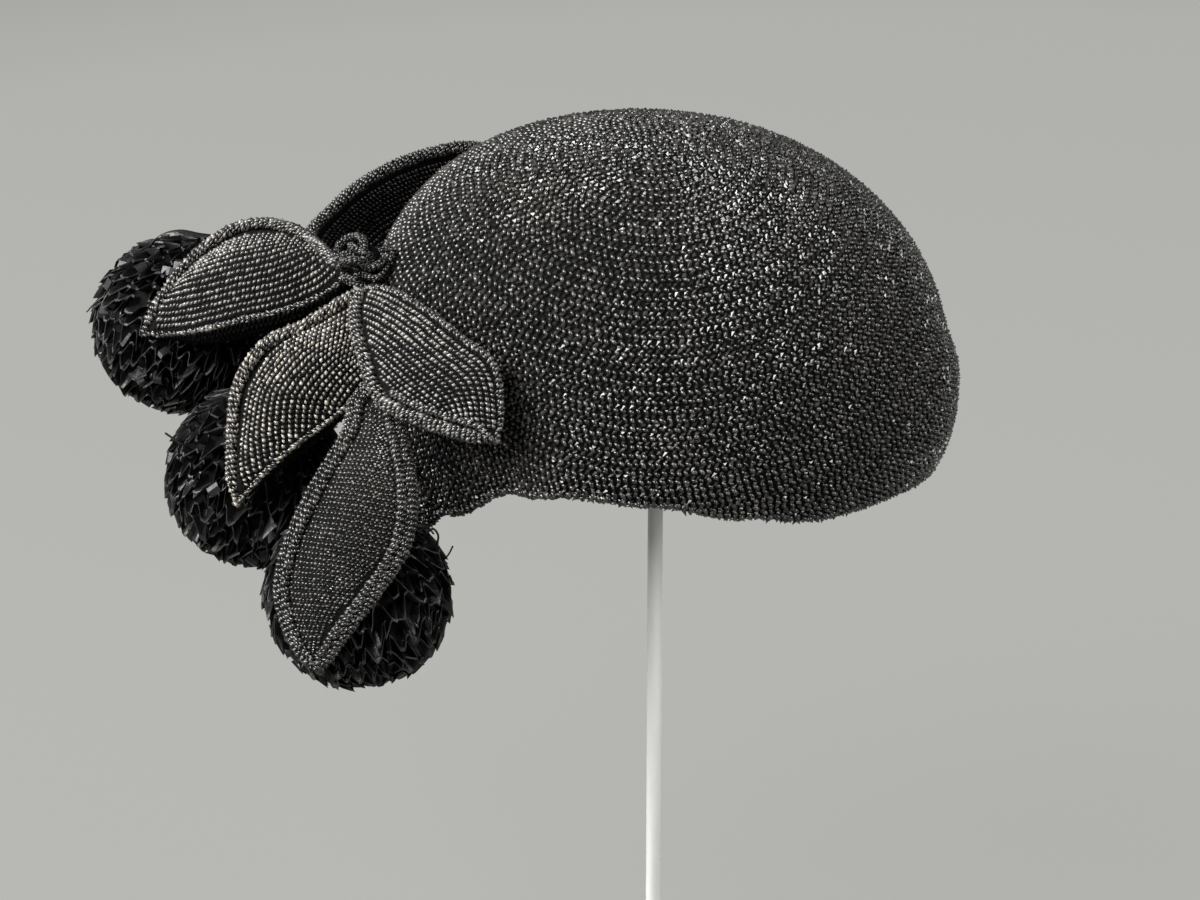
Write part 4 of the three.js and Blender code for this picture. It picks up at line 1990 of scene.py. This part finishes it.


# The object's own pieces

# Leaves that face the lamps take the grey or the pale straw, lighter partly by painted light; leaf_1 and
# leaf_4, in shade, keep the black
LEAVES = (
    Leaf("leaf_1", LeafForm((-114, -12, 78), (-52, 80, 93), (
        ((-138, 15, 86), (-110, 12, 62), 5),
        ((-130, 32, 93), (-109, 30, 54), 10),
        ((-114, 48, 102), (-101, 46, 52), 12),
        ((-94, 63, 107), (-90, 62, 57), 11),
        ((-72, 75, 107), (-70, 74, 72), 6),
    )), straw=Straw.BLACK, seed=21),
    Leaf("leaf_2", LeafForm((-118, -22, 82), (-204, 7, 46), (
        ((-133, 3, 86), (-127, -18, 72), 8),
        ((-149, 16, 89), (-144, -18, 64), 11),
        ((-164, 20, 87), (-160, -17, 60), 11),
        ((-180, 19, 77), (-177, -11, 54), 9),
        ((-194, 14, 61), (-192, 1, 48), 5),
    )), RowsRun.ALONG_RIGHT, (Bead(2.1, 2.3, 2.6, groove=3.6),), (Bead(1.2, 1.0, -0.8, groove=0.7),),
        curl=14.0, seed=22),
    Leaf("leaf_3", LeafForm((-113, -28, 78), (-163, -48, -6), (
        ((-136, -29, 63), (-108, -36, 60), 6),
        ((-154, -30, 54), (-109, -41, 48), 9),
        ((-164, -31, 38), (-118, -46, 35), 10),
        ((-166, -36, 19), (-136, -49, 22), 7),
        ((-165, -43, 5), (-152, -51, 8), 4),
    )), RowsRun.ALONG_LEFT, (Bead(2.7, 2.6, 1.9, groove=2.9),), (Bead(1.2, 1.0, -0.5, groove=0.7),),
        curl=10.0, straw=Straw.PALE_WORN_AND_LIT, seed=23),
    Leaf("leaf_4", LeafForm((-94, -39, 46), (-127, -105, -52), (
        ((-117.5, -57, 40), (-97, -58, 41), 1),
        ((-119.5, -64, 31), (-95, -68, 33), 3),
        ((-132, -79, 13), (-90, -87, 16), 6),
        ((-141.5, -85, -7), (-92, -96, -2), 8),
        ((-145, -90, -25), (-103, -101, -19), 7),
        ((-138, -98, -43), (-117, -105, -37), 4),
    )), RowsRun.ACROSS, (Bead(2.2, 2.2, 0.8), Bead(5.2, 1.7, 1.4)),
        (Bead(2.4, 2.4, 0.9), Bead(5.8, 1.9, 1.6)),
        pitch=2.0, stitch=1.8, lean=14.0, straw=Straw.BLACK, seed=24),
    Leaf("leaf_5", LeafForm((-112, -32, 78), (-60, -92, 36), (
        ((-116, -44, 68), (-102, -42, 81), 3),
        ((-112, -56, 55), (-87, -60, 79), 6),
        ((-105, -68, 43), (-73, -76, 73), 7),
        ((-86, -81, 38), (-61, -85, 66), 6),
        ((-71, -89, 36), (-58, -90, 50), 3),
    )), RowsRun.ALONG_RIGHT, (Bead(3.0, 2.9, 1.9, groove=2.6), Bead(8.6, 1.4, 1.0, 0.5, 0.96)),
        (Bead(1.3, 1.2, 0.0, groove=1.2),), seed=25),
)
BALLS = (
    PleatedBall("ball_1", (-193, 46, 38.5), tip=28, scraps=40, seed=31, strands=(
        Strand((
            (-204, 40, 73), (-199.7, 40, 77.7), (-192, 40, 79.6), (-183, 40, 77.8), (-176, 40, 77),
            (-169, 41, 78.2), (-166, 42, 76),
        ), 1.2, True),
        Strand(((-219, 31, 56), (-223.7, 30, 53.8), (-226.7, 30, 51.3), (-229.4, 30, 48.3))),
        Strand(((-221, 32, 34), (-222.4, 30, 31.3), (-223.3, 30, 29.6), (-225, 30, 27.9))),
    )),
    PleatedBall("ball_2", (-159.5, -5, -9), tip=20, ruffled=1.1, scraps=20, seed=32, strands=(
        Strand(((-181, -22, 7), (-185.6, -25, 11.2), (-189.1, -25, 13.7), (-192.5, -25, 16.2)), 0.45),
    )),
    PleatedBall("ball_3", (-115.5, -65, -35), tip=-17, ruffled=1.15, seed=33, strands=(
        Strand((
            (-88, -60, -30), (-85.5, -62, -26.6), (-82.7, -62, -22.9), (-80.4, -62, -20), (-78.8, -62, -16.7),
        )),
        Strand((
            (-92, -66, -22), (-90.9, -66, -17.6), (-89.6, -66, -11), (-86.1, -66, -8.1), (-84.2, -66, -10.6),
            (-84.7, -66, -15.9), (-83.3, -66, -21.7),
        ), 0.45),
        Strand((
            (-94, -70, -19), (-93.3, -70, -14.3), (-91.6, -70, -8.2), (-87.8, -70, -6.1), (-85.6, -70, -8.6),
        ), 0.4),
    )),
)
STEMS = (
    Stem("stem_1", BALLS[0].at, ((-155, 25, 58), (-130, 10, 62), (-104, 0, 58)), seed=51),
    Stem("stem_2", BALLS[1].at, ((-141, -2, 30), (-124, 1, 33), (-104, 0, 33)), seed=52),
    Stem("stem_3", BALLS[2].at, ((-106, -54, 2), (-90, -38, 10)), seed=53),
)
STRAWS = {
    Straw.BLACK: StrawFinish(),
    # the grey and the pale straw: the black made lighter in every colour and glossier, partly real wear and
    # partly painted light for leaves facing the lamps
    Straw.GREY_WORN_AND_LIT: StrawFinish(
        "grey_worn_and_lit_straw", light=(0.032, 0.030, 0.0275), bright=(0.140, 0.132, 0.120),
        worn=(0.075, 0.067, 0.058), coat=0.45,
    ),
    Straw.PALE_WORN_AND_LIT: StrawFinish(
        "pale_worn_and_lit_straw", light=(0.066, 0.060, 0.052), bright=(0.230, 0.210, 0.180),
        worn=(0.130, 0.112, 0.090), coat=0.5,
    ),
}
ROD_PAINT = PaintFinish("pale_paint", (0.53, 0.535, 0.52), (0.49, 0.495, 0.48))
FOOT_PAINT = PaintFinish("foot_paint", (0.30, 0.303, 0.295), (0.26, 0.263, 0.256), 0.45)


def main() -> None:
    """Builds every piece in order."""
    logging.basicConfig(level=logging.INFO, format="%(name)s %(message)s")
    Studio().build()
    form = CrownForm()
    clear = Clearance(form)
    straw = STRAWS[Straw.BLACK]
    Crown(form).build(straw)
    for leaf in LEAVES:
        leaf.build(STRAWS[leaf.straw], clear)
    for ball in BALLS:
        ball.build(RibbonFinish())
    Knot().build(straw, clear)
    for stem in STEMS:
        stem.build(straw, clear)
    Stand().build(ROD_PAINT, FOOT_PAINT, ClothFinish(), clear)


if __name__ == "__main__":
    main()
